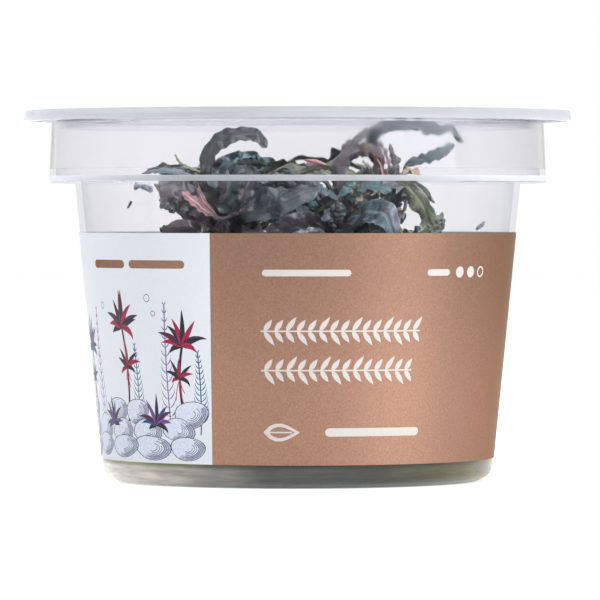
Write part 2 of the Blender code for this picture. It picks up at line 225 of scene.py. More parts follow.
# %% [markdown]
# ## The studio
# Clear plastic has almost no colour of its own. It shows what stands round it, so the studio
# comes before the materials. The cup was shot on white: a white floor that runs into a white
# background. Behind the cup and above it the world is bright. On the camera's side it is dim,
# which keeps grey reflections off the dark leaves, and on the far right it is dimmer too, which
# lets the bronze film darken towards its edge. Where the world is looked at, directly or
# by way of the plastic, it is plain white. Soft boxes on the right and the left add the broad
# bands of light on the printed film, and one above lights the plant.

# %% World
WORLD_SEEN = 1.0
WORLD_BEHIND = 0.85
WORLD_BEFORE = 0.27
WORLD_RIGHT = 0.3
FRONT_TO_BACK = (-0.5, 0.4)
RIGHT_DIMMING = (0.35, 0.95)


def add_world():
    """A world that is plain white where it is looked at, and shaded where it only gives light."""
    world = bpy.data.worlds.new("white studio")
    world.use_nodes = True
    tree = world.node_tree
    tree.nodes.clear()
    rays = add_node(tree, "LightPath").outputs
    not_inside = add_math(tree, "SUBTRACT", 1.0, rays["Transmission Depth"], clamp=True)
    mirrored = add_math(tree, "MULTIPLY", rays["Glossy Depth"], not_inside)
    bounced = add_math(tree, "ADD", rays["Diffuse Depth"], mirrored, clamp=True)
    direction = add_node(tree, "TexCoord").outputs["Generated"]
    axes = add_node(tree, "SeparateXYZ", Vector=direction).outputs
    from_front = add_range(tree, axes["Y"], *FRONT_TO_BACK, WORLD_BEFORE, WORLD_BEHIND)
    to_right = add_range(tree, axes["X"], *RIGHT_DIMMING, 1.0, WORLD_RIGHT)
    lighting = add_math(tree, "MULTIPLY", from_front, to_right)
    strength = add_node(tree, "Mix", Factor=bounced, A=WORLD_SEEN, B=lighting).outputs["Result"]
    air = add_node(tree, "Background", Strength=strength, Color=(1, 1, 1, 1))
    add_node(tree, "OutputWorld", Surface=air.outputs["Background"])
    bpy.context.scene.world = world
    bpy.context.scene.view_settings.view_transform = "Standard"


add_world()
print("the world's light is", WORLD_BEHIND, "behind the cup and", WORLD_BEFORE, "before it")

# %% Floor
FLOOR_SIZE = 6.0
FLOOR_COLOUR = (0.93, 0.93, 0.93, 1.0)
FLOOR_ROUGHNESS = 0.9
FLOOR_LIFT = 0.4


def add_floor():
    """A wide white floor that glows a little, so that it melts into the white background."""
    edit = bmesh.new()
    bmesh.ops.create_grid(edit, x_segments=1, y_segments=1, size=FLOOR_SIZE / 2)
    mesh = bpy.data.meshes.new("studio_floor")
    edit.to_mesh(mesh)
    edit.free()
    floor = bpy.data.objects.new("studio_floor", mesh)
    bpy.context.scene.collection.objects.link(floor)
    material, _, _ = new_material(
        "matt white sweep", FLOOR_ROUGHNESS, Base_Color=FLOOR_COLOUR,
        Emission_Color=(1, 1, 1, 1), Emission_Strength=FLOOR_LIFT,
    )
    mesh.materials.append(material)


add_floor()
print("a white floor,", FLOOR_SIZE, "m wide")

# %% Soft boxes
SOFT_BOXES = (
    ("right soft box", (1.1, -0.7, 0.5), (1.0, 1.5), 25.0),
    ("left soft box", (-1.2, -0.7, 0.3), (0.8, 1.2), 3.2),
    ("top soft box", (0.1, -0.5, 1.4), (1.2, 0.9), 9.0),
)
AIM = Vector((0, 0, 0.03))


def add_soft_box(name, place, size, power):
    """A rectangular lamp that points at the cup."""
    data = bpy.data.lights.new(name, "AREA")
    data.shape = "RECTANGLE"
    data.size, data.size_y = size
    data.energy = power
    box = bpy.data.objects.new(name, data)
    box.location = place
    box.rotation_euler = (AIM - Vector(place)).to_track_quat("-Z", "Y").to_euler()
    bpy.context.scene.collection.objects.link(box)


for soft_box in SOFT_BOXES:
    add_soft_box(*soft_box)
print("lit by", len(SOFT_BOXES), "soft boxes")

# %% [markdown]
# ## An effect that several materials share: mottling
# No moulded, printed or grown surface is one even tone. This group takes a base colour and
# returns it with broad soft patches and a fine grain, and it also returns the grain alone, so
# that a material can use it for roughness or bump. Plastic, film, gel, stems and leaves all
# take it, each with its own scale and strength.

# %% The mottling group
def make_mottle_group():
    """Builds the group: colour in, mottled colour out, with the patches and the grain alone."""
    group, given, result = new_group(
        "mottle",
        (
            ("Coordinates", VECTOR, (0, 0, 0)),
            ("Colour", COLOUR, (0.5, 0.5, 0.5, 1)),
            ("Patch Scale", NUMBER, 80.0),
            ("Patch Strength", NUMBER, 0.2),
            ("Grain Scale", NUMBER, 2000.0),
            ("Grain Strength", NUMBER, 0.1),
        ),
        (("Colour", COLOUR), ("Patches", NUMBER), ("Grain", NUMBER)),
    )
    patches = add_noise(group, given["Coordinates"], 1.0, 3.0)
    group.links.new(given["Patch Scale"], patches.node.inputs["Scale"])
    grain = add_noise(group, given["Coordinates"], 1.0, 1.0)
    group.links.new(given["Grain Scale"], grain.node.inputs["Scale"])
    centred_patches = add_math(group, "SUBTRACT", patches, 0.5)
    centred_grain = add_math(group, "SUBTRACT", grain, 0.5)
    patch_part = add_math(group, "MULTIPLY", centred_patches, given["Patch Strength"])
    grain_part = add_math(group, "MULTIPLY", centred_grain, given["Grain Strength"])
    change = add_math(group, "ADD", patch_part, grain_part)
    gain = add_math(group, "MULTIPLY_ADD", change, 2.0, 1.0)
    mottled = add_scaled(group, given["Colour"], gain)
    group.links.new(mottled, result["Colour"])
    group.links.new(patches, result["Patches"])
    group.links.new(grain, result["Grain"])
    return group


mottle = make_mottle_group()
print("the group", mottle.name, "has", len(mottle.nodes), "nodes")

# %% [markdown]
# ## Clear plastic
# The cup and lid are injection moulded, a millimetre thick, and slightly lavender where they
# are looked at edge on. The Principled shader's transmission does the see-through part, and
# a thin wall needs a real thickness for its edges to darken, so both walls are modelled.
# Refraction hides lamps from what is inside, so the shader is mixed with a transparent one
# that shadow rays see: light then reaches the leaves through the lid. A plastic can also give
# a share of its other rays to the transparent shader. Those go on in a straight line.

# %% Letting light through
def let_light_through(tree, shader, shadow_tint, straight=0.0, surface_tint=(1, 1, 1, 1)):
    """Shadow rays, and a share of the others, see a tinted transparent surface instead."""
    shadow_ray = add_node(tree, "LightPath").outputs["Is Shadow Ray"]
    tint = add_mix(tree, shadow_ray, surface_tint, shadow_tint)
    clear = add_node(tree, "BsdfTransparent", Color=tint)
    mix = add_node(tree, "MixShader", Fac=add_math(tree, "MAXIMUM", shadow_ray, straight))
    tree.links.new(shader.outputs["BSDF"], mix.inputs[1])
    tree.links.new(clear.outputs["BSDF"], mix.inputs[2])
    tree.links.new(mix.outputs["Shader"], tree.nodes["Material Output"].inputs["Surface"])


# %% [markdown]
# The plant breathes: high on the right of the collar the inside is misted, and the mist has
# run down in streaks that blur the leaves behind it. The mask for it is a box with soft sides,
# multiplied by a noise that is stretched upright. It only makes the plastic rougher there.

# %% Mist on the inside of the wall
MIST_ON_LEFT = (2 * MM, 13 * MM)
MIST_ON_RIGHT = (27 * MM, 34 * MM)
MIST_UPWARD = (55 * MM, 58.5 * MM)
MIST_IN_FRONT = (-26 * MM, -18 * MM)
MIST_STREAK_SCALE = 620.0
MIST_STREAKS = (0.36, 0.6)
MIST_ROUGHNESS = 0.075


def mist(tree):
    """How misted a place of the wall is: high in front on the right, in upright streaks."""
    axes = place_axes(tree)
    from_left = add_range(tree, axes["X"], *MIST_ON_LEFT)
    to_right = add_range(tree, axes["X"], *MIST_ON_RIGHT, 1.0, 0.0)
    upward = add_range(tree, axes["Z"], *MIST_UPWARD)
    in_front = add_range(tree, axes["Y"], *MIST_IN_FRONT, 1.0, 0.0)
    runs = add_noise(tree, place_coordinates(tree, (1, 1, 0.1)), MIST_STREAK_SCALE)
    streaks = add_range(tree, runs, *MIST_STREAKS)
    sideways = add_math(tree, "MULTIPLY", from_left, to_right)
    place = add_math(tree, "MULTIPLY", sideways, add_math(tree, "MULTIPLY", upward, in_front))
    return add_math(tree, "MULTIPLY", place, streaks)


# %% [markdown]
# Where the wall turns away from the eye, a look goes through more plastic, so its tint
# deepens. A Layer Weight node tells how far it has turned. A look through one wall crosses two
# surfaces, so each surface of the transparent shader gets only a part of the wall's tint: the
# tint raised to the power of `SURFACE_PART`, by a Gamma node.
#
# Two plastics are made. In the open walls a look is refracted, as in any clear solid. From the
# film's top to the ledge, in the flange and in the lid's plug the walls are thin and full of
# corners, and each corner would bend the look aside into a dark line. There the thin plastic
# lets nearly every ray go straight on. The few others meet a hazy surface, which gives the
# wall a faint bloom.

# %% The clear and the thin plastic
PLASTIC_TINT = (0.905, 0.9, 0.925, 1.0)
PLASTIC_IOR = 1.49
PLASTIC_ROUGHNESS = 0.025
ROUGHNESS_CHANGE = 0.03
PLASTIC_REFLECTION = (0.1, 0.12, 0.15, 1.0)
SHADOW_TINT = (0.87, 0.9, 0.94, 1.0)
EDGE_TINT = (0.82, 0.82, 0.845, 1.0)
EDGE_FACING = (0.3, 0.66)
RIM_TINT = (0.75, 0.75, 0.77, 1.0)
RIM_FACING = (0.66, 0.76)
SURFACE_PART = 0.38
HAZE_ROUGHNESS = 0.45
HAZE_CHANGE = 0.1
THIN_STRAIGHT = 0.955


def add_wall_tint(tree):
    """The colour of a look through one wall, by how far the wall has turned away."""
    turning = add_node(tree, "LayerWeight").outputs["Facing"]
    edge = add_mix(tree, add_range(tree, turning, *EDGE_FACING), PLASTIC_TINT, EDGE_TINT)
    return add_mix(tree, add_range(tree, turning, *RIM_FACING), edge, RIM_TINT)


def make_clear_plastic(name, least_roughness, roughness_change, straight=0.0):
    """See-through plastic, a little uneven and misted. A share of its rays goes straight on."""
    material, tree, shader = new_material(
        name, least_roughness, Base_Color=PLASTIC_TINT, Specular_Tint=PLASTIC_REFLECTION,
        IOR=PLASTIC_IOR, Transmission_Weight=1.0,
    )
    marks = use_group(
        tree, mottle, Coordinates=place_coordinates(tree, (1, 1, 0.3)),
        Patch_Scale=60.0, Grain_Scale=500.0,
    )
    patches = marks["Patches"]
    uneven = add_math(tree, "MULTIPLY_ADD", patches, roughness_change, least_roughness)
    roughness = add_math(tree, "MULTIPLY_ADD", mist(tree), MIST_ROUGHNESS, uneven)
    tree.links.new(roughness, shader.inputs["Roughness"])
    wall_tint = add_wall_tint(tree)
    tree.links.new(wall_tint, shader.inputs["Base Color"])
    add_bump(tree, shader, patches, strength=0.15, distance=0.2 * MM)
    surface = add_node(tree, "Gamma", Color=wall_tint, Gamma=SURFACE_PART)
    let_light_through(tree, shader, SHADOW_TINT, straight, surface.outputs["Color"])
    return material


clear_plastic = make_clear_plastic("clear moulded plastic", PLASTIC_ROUGHNESS, ROUGHNESS_CHANGE)
thin_plastic = make_clear_plastic("thin clear plastic", HAZE_ROUGHNESS, HAZE_CHANGE, THIN_STRAIGHT)
print("a wall seen edge on keeps", RIM_TINT[0], "of the red light behind it")

# %% [markdown]
# Where the moulding is thick, at the lid's lip, the rim and the ledge, the same plastic looks
# milky: light scatters inside it and comes out as a soft pale band. Those faces get materials
# of their own, which let less light through: one for the lip and the rim, one for the ledge.
# Each band has two tones with a blend between them at the middle of its height. The lip is
# palest at its foot. The ledge is palest at its top, a painted highlight where it catches the
# light from above.

# %% The milky plastics
MILKY_ROUGHNESS = 0.6
RIM_SEE_THROUGH = 0.82
LEDGE_SEE_THROUGH = 0.64
BAND_BLEND = 0.5 * MM
RIM_MIDDLE = 62.9 * MM
LEDGE_MIDDLE = 52.4 * MM
RIM_FOOT_COLOUR = (0.77, 0.79, 0.83, 1.0)
RIM_TOP_COLOUR = (0.68, 0.7, 0.74, 1.0)
# The ledge's paler top colour is a painted highlight of the light from above.
LEDGE_FOOT_COLOUR = (0.68, 0.71, 0.77, 1.0)
LEDGE_LIT_TOP_COLOUR = (0.84, 0.855, 0.89, 1.0)
MILKY_STRAIGHT = 0.12
MILKY_SHADOW = (0.8, 0.81, 0.84, 1.0)


def make_milky_plastic(name, see_through, middle, foot_colour, top_colour):
    """A milky plastic that changes from one colour to the other at a middle height."""
    material, tree, shader = new_material(
        name, MILKY_ROUGHNESS, IOR=PLASTIC_IOR, Transmission_Weight=see_through
    )
    height = add_range(tree, place_axes(tree)["Z"], middle - BAND_BLEND, middle + BAND_BLEND)
    colour = add_mix(tree, height, foot_colour, top_colour)
    look = use_group(
        tree, mottle, Coordinates=place_coordinates(tree, (1, 1, 3)), Colour=colour,
        Patch_Scale=40.0, Patch_Strength=0.05,
        Grain_Scale=700.0, Grain_Strength=0.03,
    )
    tree.links.new(look["Colour"], shader.inputs["Base Color"])
    add_bump(tree, shader, look["Grain"], strength=0.1, distance=0.1 * MM)
    let_light_through(tree, shader, MILKY_SHADOW, MILKY_STRAIGHT)
    return material


milky_edge = make_milky_plastic(
    "milky rim", RIM_SEE_THROUGH, RIM_MIDDLE, RIM_FOOT_COLOUR, RIM_TOP_COLOUR
)
milky_ledge = make_milky_plastic(
    "milky ledge", LEDGE_SEE_THROUGH, LEDGE_MIDDLE, LEDGE_FOOT_COLOUR, LEDGE_LIT_TOP_COLOUR
)
print("the rim lets", RIM_SEE_THROUGH, "of the light through, the ledge", LEDGE_SEE_THROUGH)

# %% [markdown]
# The cup's foot is the thickest part of all. Its colour paints what a look through it would
# meet: the gel, the roots and the stems above it, smeared sideways into grey streaks. The
# middle is nearly black, a painted shade where the film and the plant keep light from the gel.
# One side is beige and the other olive. Just under the film a band of darker green runs all
# round, a painted shadow of the film's edge. A colour ramp across the foot gives the colours
# and the painted shade, a step of the height gives the painted shadow, and a noise that is
# stretched sideways gives the streaks.

# %% The foot material, with painted shade
# The nearly black middle of these colours is painted shade.
FOOT_COLOURS_AND_SHADE = (
    (-33.0, (0.8, 0.77, 0.73, 1)),
    (-29.0, (0.68, 0.64, 0.58, 1)),
    (-22.0, (0.42, 0.39, 0.35, 1)),
    (-13.0, (0.17, 0.165, 0.15, 1)),
    (-4.0, (0.055, 0.055, 0.053, 1)),
    (10.0, (0.035, 0.037, 0.037, 1)),
    (20.0, (0.05, 0.053, 0.03, 1)),
    (27.0, (0.075, 0.068, 0.028, 1)),
    (33.0, (0.13, 0.12, 0.065, 1)),
)
FOOT_REACH = 66.0 * MM
FOOT_ROUGHNESS = 0.22
FOOT_SEE_THROUGH = 0.12
FILM_SHADOW_TINT = (0.3, 0.33, 0.16, 1.0)
FILM_SHADOW_FOOT = 3.0 * MM
FILM_SHADOW_TOP = 3.9 * MM


def make_shaded_foot():
    """Thick plastic painted with the smeared colours of what stands above it, and with painted shade."""
    material, tree, shader = new_material(
        "plastic foot with painted shade", FOOT_ROUGHNESS, IOR=PLASTIC_IOR, Transmission_Weight=FOOT_SEE_THROUGH
    )
    axes = place_axes(tree)
    across_foot = add_math(tree, "MULTIPLY_ADD", axes["X"], 1 / FOOT_REACH, 0.5)
    ramp = add_node(tree, "ValToRGB", Fac=across_foot)
    ramp.color_ramp.interpolation = "EASE"
    stops = ramp.color_ramp.elements
    while len(stops) < len(FOOT_COLOURS_AND_SHADE):
        stops.new(0.5)
    for stop, (place, colour) in zip(stops, FOOT_COLOURS_AND_SHADE):
        stop.position = place * MM / FOOT_REACH + 0.5
        stop.color = colour
    # Painted shadow: just under the film, the foot turns a darker green.
    upper = add_range(tree, axes["Z"], FILM_SHADOW_FOOT, FILM_SHADOW_TOP)
    green = add_mix(tree, 1.0, ramp.outputs["Color"], FILM_SHADOW_TINT, "MULTIPLY")
    shadowed_under_film = add_mix(tree, upper, ramp.outputs["Color"], green)
    look = use_group(
        tree, mottle, Coordinates=place_coordinates(tree, (0.1, 0.1, 1)), Colour=shadowed_under_film,
        Patch_Scale=900.0, Patch_Strength=0.75,
        Grain_Scale=2600.0, Grain_Strength=0.25,
    )
    tree.links.new(look["Colour"], shader.inputs["Base Color"])
    let_light_through(tree, shader, SHADOW_TINT)
    return material


shaded_foot = make_shaded_foot()
print("the foot has", len(FOOT_COLOURS_AND_SHADE), "colours from side to side")

# %% [markdown]
# ## Turning the cup and the lid
# A solid of revolution is an outline spun round an axis. The CAD solids have sixty flats, which
# is plenty for their size, but a flat shows up in clear plastic as a kink in everything behind
# it. So the same outlines are turned again with three times as many steps, and every corner is
# rounded, because a moulded edge is never sharp and its radius catches the light.

# %% Sizes of the cup and the lid
MOULD_RADIUS = 0.28 * MM
CUP_WALL = 1.05 * MM
FOOT_BAND = 4.2 * MM
FOOT_RING_INNER = 29.2 * MM
FOOT_RING_OUTER = 31.1 * MM
BASE_RECESS = 1.0 * MM
FLOOR_TOP = 2.0 * MM
BODY_FOOT_RADIUS = 33.47 * MM
BODY_TOP_RADIUS = 38.55 * MM
LEDGE_UNDERSIDE = 51.46 * MM
LEDGE_BAND_TOP = 52.75 * MM
THIN_FOOT = 42.5 * MM
THIN_TOP = 54.0 * MM
THIN_STEP = 0.035 * MM
COLLAR_FOOT_RADIUS = 43.04 * MM
COLLAR_TOP_RADIUS = 42.6 * MM
FLANGE_RADIUS = 46.2 * MM
FLANGE_UNDERSIDE = 62.2 * MM
FLANGE_THICKNESS = 0.65 * MM
LID_TOP = 64.0 * MM
LID_PLATE = 0.85 * MM
LIP_TOP_RADIUS = 47.07 * MM
LIP_FOOT_RADIUS = 47.5 * MM
LIP_WALL = 0.9 * MM
LIP_FOOT = 62.2 * MM
PLUG_RADIUS = 41.2 * MM
PLUG_WALL = 0.9 * MM
PLUG_FOOT = 60.9 * MM
PIECE_GAP = 0.3 * MM


# %% The cup's outline
def body_radius(height):
    """Outer radius of the cup's tapered body."""
    return BODY_FOOT_RADIUS + (BODY_TOP_RADIUS - BODY_FOOT_RADIUS) * height / LEDGE_UNDERSIDE


def collar_radius(height):
    """Outer radius of the cup's collar, which narrows a little towards the flange."""
    share = (height - LEDGE_UNDERSIDE) / (FLANGE_UNDERSIDE - LEDGE_UNDERSIDE)
    return COLLAR_FOOT_RADIUS + (COLLAR_TOP_RADIUS - COLLAR_FOOT_RADIUS) * share


def cup_outline():
    """Corner points as (radius, height, corner radius), up the outside and down the inside."""
    ledge_top = LEDGE_UNDERSIDE + CUP_WALL
    rim_top = FLANGE_UNDERSIDE + FLANGE_THICKNESS
    return (
        (0.0, BASE_RECESS, 0),
        (FOOT_RING_INNER - BASE_RECESS, BASE_RECESS, MOULD_RADIUS),
        (FOOT_RING_INNER, 0.0, MOULD_RADIUS),
        (FOOT_RING_OUTER, 0.0, 2 * MOULD_RADIUS),
        (body_radius(0.0), 1.1 * MM, 1.6 * MM),
        (body_radius(FOOT_BAND), FOOT_BAND, 0),
        (body_radius(THIN_FOOT), THIN_FOOT, 0),
        (body_radius(LEDGE_UNDERSIDE), LEDGE_UNDERSIDE, MOULD_RADIUS),
        (COLLAR_FOOT_RADIUS, LEDGE_UNDERSIDE, 0.7 * MM),
        (collar_radius(LEDGE_BAND_TOP), LEDGE_BAND_TOP, 0.1 * MM),
        (collar_radius(THIN_TOP), THIN_TOP, 0),
        (COLLAR_TOP_RADIUS, FLANGE_UNDERSIDE, MOULD_RADIUS),
        (FLANGE_RADIUS, FLANGE_UNDERSIDE, MOULD_RADIUS),
        (FLANGE_RADIUS, rim_top, MOULD_RADIUS),
        (collar_radius(rim_top) - CUP_WALL, rim_top, 2 * MOULD_RADIUS),
        (collar_radius(THIN_TOP) - CUP_WALL, THIN_TOP, 0),
        (collar_radius(ledge_top) - CUP_WALL, ledge_top, 1.0 * MM),
        (body_radius(ledge_top) - CUP_WALL, ledge_top, 0.7 * MM),
        (body_radius(THIN_FOOT + THIN_STEP) - CUP_WALL, THIN_FOOT + THIN_STEP, 0),
        (body_radius(FOOT_BAND) - CUP_WALL, FOOT_BAND, 0),
        (body_radius(FLOOR_TOP) - CUP_WALL, FLOOR_TOP, 1.5 * MM),
        (0.0, FLOOR_TOP, 0),
    )


print("the cup's outline has", len(cup_outline()), "corners")

# %% The lid's outline
def lid_outline():
    """Corner points of the lid, from the middle of its top round its lip and plug."""
    underside = LID_TOP - LID_PLATE
    return (
        (0.0, LID_TOP, 0),
        (LIP_TOP_RADIUS, LID_TOP, MOULD_RADIUS / 3),
        (LIP_FOOT_RADIUS, LIP_FOOT, MOULD_RADIUS / 2),
        (LIP_FOOT_RADIUS - LIP_WALL, LIP_FOOT, MOULD_RADIUS / 2),
        (LIP_TOP_RADIUS - LIP_WALL, underside, MOULD_RADIUS),
        (PLUG_RADIUS, underside, MOULD_RADIUS),
        (PLUG_RADIUS, PLUG_FOOT, MOULD_RADIUS),
        (PLUG_RADIUS - PLUG_WALL, PLUG_FOOT, MOULD_RADIUS),
        (PLUG_RADIUS - PLUG_WALL, underside, MOULD_RADIUS),
        (0.0, underside, 0),
    )


print("the lid's outline has", len(lid_outline()), "corners")

# %% [markdown]
# `turned` spins an outline by joining rings of vertices with faces. Each face can be given a
# material slot by where it lies. That is how one closed wall gets its milky, thin and clear zones
# and its foot with painted shade. An outline needs a corner at each border of a zone, or else a
# long face would straddle it.

# %% Rounding the corners and turning the outline
TURN_STEPS = 180
CORNER_STEPS = 4
SUPPORT_SHARE = 0.03
LONGEST_CORNER = 0.4


def rounded(corners):
    """Points along an outline whose corners are rounded, each by its own radius.

    A support point just outside each corner keeps the long wall beside it evenly shaded.
    A corner without a radius stays as it is.
    """
    places = [Vector(corner[:2]) for corner in corners]
    points = [places[0]]
    for before, corner, after, spec in zip(places, places[1:], places[2:], corners[1:]):
        if spec[2] == 0:
            points.append(corner)
            continue
        back = before - corner
        ahead = after - corner
        reach = min(spec[2], back.length * LONGEST_CORNER, ahead.length * LONGEST_CORNER)
        start = corner + back.normalized() * reach
        end = corner + ahead.normalized() * reach
        points.append(start.lerp(before, SUPPORT_SHARE))
        for step in range(CORNER_STEPS + 1):
            share = step / CORNER_STEPS
            points.append(start.lerp(corner, share).lerp(corner.lerp(end, share), share))
        points.append(end.lerp(after, SUPPORT_SHARE))
    return [*points, places[-1]]


def turned(name, corners, zone=None):
    """A mesh spun from an outline that begins and ends on the axis. A zone names each slot."""
    edit = bmesh.new()
    points = rounded(corners)
    poles = [edit.verts.new((0, 0, points[index][1])) for index in (0, -1)]
    rings = []
    for radius, height in points[1:-1]:
        ring = []
        for step in range(TURN_STEPS):
            angle = math.tau * step / TURN_STEPS
            ring.append(edit.verts.new((radius * math.cos(angle), radius * math.sin(angle), height)))
        rings.append(ring)
    for step in range(TURN_STEPS):
        after = (step + 1) % TURN_STEPS
        edit.faces.new((poles[0], rings[0][step], rings[0][after]))
        edit.faces.new((poles[1], rings[-1][after], rings[-1][step]))
        for lower, upper in zip(rings, rings[1:]):
            face = edit.faces.new((lower[step], upper[step], upper[after], lower[after]))
            if zone:
                middle = (lower[step].co + upper[step].co) / 2
                face.material_index = zone(math.hypot(middle.x, middle.y), middle.z)
    bmesh.ops.recalc_face_normals(edit, faces=edit.faces)
    return new_piece(name, edit)


# %% Making a piece
SHARP_ANGLE = math.radians(50)


def new_piece(name, edit):
    """A smooth-shaded piece of the object from an edited mesh. It rides on the part's body."""
    mesh = bpy.data.meshes.new(name)
    edit.to_mesh(mesh)
    edit.free()
    mesh.shade_smooth()
    mesh.set_sharp_from_angle(angle=SHARP_ANGLE)
    piece = bpy.data.objects.new(name, mesh)
    bpy.context.scene.collection.objects.link(piece)
    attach(piece, BODY)
    return piece


# %% The zones of the cup and the lid
CLEAR, MILKY, SHADED_FOOT, THIN, LEDGE = range(5)
LEDGE_BAND_FOOT = 51.75 * MM
LEDGE_BAND_DEPTH = 0.6 * MM
LIP_SLANT = 0.5 * MM
PLUG_BAND = 1.2 * MM


def cup_zone(radius, height):
    """The slot of a place on the cup, from its foot with painted shade up to its milky rim."""
    if height < FOOT_BAND:
        return SHADED_FOOT
    if LEDGE_BAND_FOOT < height < LEDGE_BAND_TOP and radius > COLLAR_FOOT_RADIUS - LEDGE_BAND_DEPTH:
        return LEDGE
    if THIN_FOOT < height < THIN_TOP:
        return THIN
    if height > FLANGE_UNDERSIDE - MOULD_RADIUS:
        return MILKY if radius > FLANGE_RADIUS - 2 * MOULD_RADIUS else THIN
    return CLEAR


def lid_zone(radius, height):
    """The slot of a place on the lid: the lip's outside is milky, and its plug hardly shows."""
    if radius > LIP_TOP_RADIUS - LIP_WALL + LIP_SLANT or height > LID_TOP - MOULD_RADIUS / 2:
        return MILKY if radius > PLUG_RADIUS else CLEAR
    return THIN if radius > PLUG_RADIUS - PLUG_BAND else CLEAR


def dress_plastic(piece, solid):
    """Gives a turned piece the plastics, in the order of the zones, and hides the solid it stands in for.
    """
    for material in (clear_plastic, milky_edge, shaded_foot, thin_plastic, milky_ledge):
        piece.data.materials.append(material)
    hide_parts(solid)


cup = turned("clear_cup", cup_outline(), cup_zone)
dress_plastic(cup, "cup")
lid = turned("clear_lid", lid_outline(), lid_zone)
dress_plastic(lid, "lid")
print("cup and lid have", len(cup.data.polygons) + len(lid.data.polygons), "faces")

# %% [markdown]
# ## The wrap label
# A printed film runs round the cup and stops short of meeting itself at the back. Left of the
# front is a pale panel with a drawing. The rest is a warm bronze print. On a real label the
# print is in the film, not on it, so nothing stands up from the surface.
#
# A neat way to draw on a curved film without a picture is to draw on the flat: the outline of
# every printed shape goes into one triangulation of the unrolled film, each triangle takes the
# ink of the topmost shape that covers it, and only then is the film rolled round the cup.

# %% The film's size
LABEL_FOOT = 4.04 * MM
LABEL_TOP = 43.0 * MM
LABEL_THICKNESS = 0.12 * MM
LABEL_GAP = 0.06 * MM
LABEL_HALF_ANGLE = math.radians(174)
LABEL_MIDDLE_RADIUS = 36.0
PANEL_RIGHT_FOOT = -24.9
PANEL_RIGHT_TOP = -22.9
PANEL_LEFT = -128.0
ROLL_STEP = 3.0


def across(degrees):
    """How far round the film a direction is, in millimetres from the middle of the front."""
    return math.radians(degrees) * LABEL_MIDDLE_RADIUS


print("the flat film is", round(2 * across(math.degrees(LABEL_HALF_ANGLE))), "mm long")

# %% Plain shapes
def rectangle(left, foot, right, top):
    """The corners of an upright rectangle."""
    return [(left, foot), (right, foot), (right, top), (left, top)]


def rounded_bar(left, foot, right, top, steps=5):
    """A bar with round ends."""
    radius = (top - foot) / 2
    middle = (top + foot) / 2
    outline = []
    for centre, start in ((right - radius, -90), (left + radius, 90)):
        for step in range(steps + 1):
            angle = math.radians(start + 180 * step / steps)
            outline.append((centre + radius * math.cos(angle), middle + radius * math.sin(angle)))
    return outline


def disc(x, z, radius, steps=18):
    """Points round a circle."""
    turns = [math.tau * step / steps for step in range(steps)]
    return [(x + radius * math.cos(turn), z + radius * math.sin(turn)) for turn in turns]


def lens(x, z, direction, length, width, steps=6):
    """A leaf shape that starts at a point and runs in a direction given in degrees."""
    ahead = Vector((math.cos(math.radians(direction)), math.sin(math.radians(direction))))
    aside = Vector((-ahead.y, ahead.x))
    outline = []
    for sign, order in ((1, range(steps)), (-1, range(steps, 0, -1))):
        for step in order:
            share = step / steps
            half = width / 2 * math.sin(math.pi * share**0.8)
            outline.append(tuple(Vector((x, z)) + ahead * length * share + aside * half * sign))
    return outline


print("a round bar has", len(rounded_bar(0, 0, 3, 1)), "corners, a disc", len(disc(0, 0, 1)))

# %% Drawn lines
def even(share):
    """A line that is equally wide all the way."""
    return 1.0


def leaf_like(share):
    """A line that swells and ends in a point, as a leaf does."""
    return max(0.08, math.sin(math.pi * share**0.7) ** 0.8)


def stroke(points, width, shape=even):
    """A line through a row of points, as wide as its shape says at each share of its length."""
    places = [Vector(point) for point in points]
    left, right = [], []
    for index, place in enumerate(places):
        before = places[max(index - 1, 0)]
        after = places[min(index + 1, len(places) - 1)]
        along = (after - before).normalized()
        half = width / 2 * shape(index / (len(places) - 1))
        aside = Vector((-along.y, along.x)) * half
        left.append(tuple(place + aside))
        right.append(tuple(place - aside))
    return left + right[::-1]


def bent(x, z, direction, length, bend, steps=7):
    """Points of a line that sets off in a direction and turns evenly on its way, in degrees."""
    points = [(x, z)]
    for step in range(steps):
        turn = math.radians(direction + bend * step / (steps - 1))
        x += math.cos(turn) * length / steps
        z += math.sin(turn) * length / steps
        points.append((x, z))
    return points


print("a line of 7 steps is drawn with", len(stroke(bent(0, 0, 90, 5, 40), 0.5)), "corners")

# %% [markdown]
# The drawing on the pale panel is a pond bed of this lesson's own, in pencil and ink: a heap of
# shaded stones along the foot, fans of crimson and black leaves between them, and feathery
# stems behind. On the bronze print there are plain white bars, a leafy line in two rows and
# three dots, in the places and weights a label has them.

# %% Stones
PENCIL_WIDTH = 0.13
STONE_ROWS = ((2, 12.6, 3.4, 2.1), (1, 9.6, 4.0, 2.4), (0, 6.7, 4.4, 2.1))
CONTOUR_SHARES = (0.85, 0.74, 0.64, 0.52, 0.4, 0.27)
pen = random.Random(8)


def oval(x, z, wide, tall, share=1.0, start=0.0, end=360.0, steps=22):
    """Points round an uneven oval, or along a part of it, shrunk towards its middle by a share."""
    points = []
    for step in range(steps):
        turn = math.radians(start + (end - start) * step / (steps - (end - start < 360)))
        uneven = share * (1 + 0.07 * math.sin(2 * turn + x) + 0.04 * math.sin(3 * turn + z))
        points.append((x + wide * uneven * math.cos(turn), z + tall * uneven * math.sin(turn)))
    return points


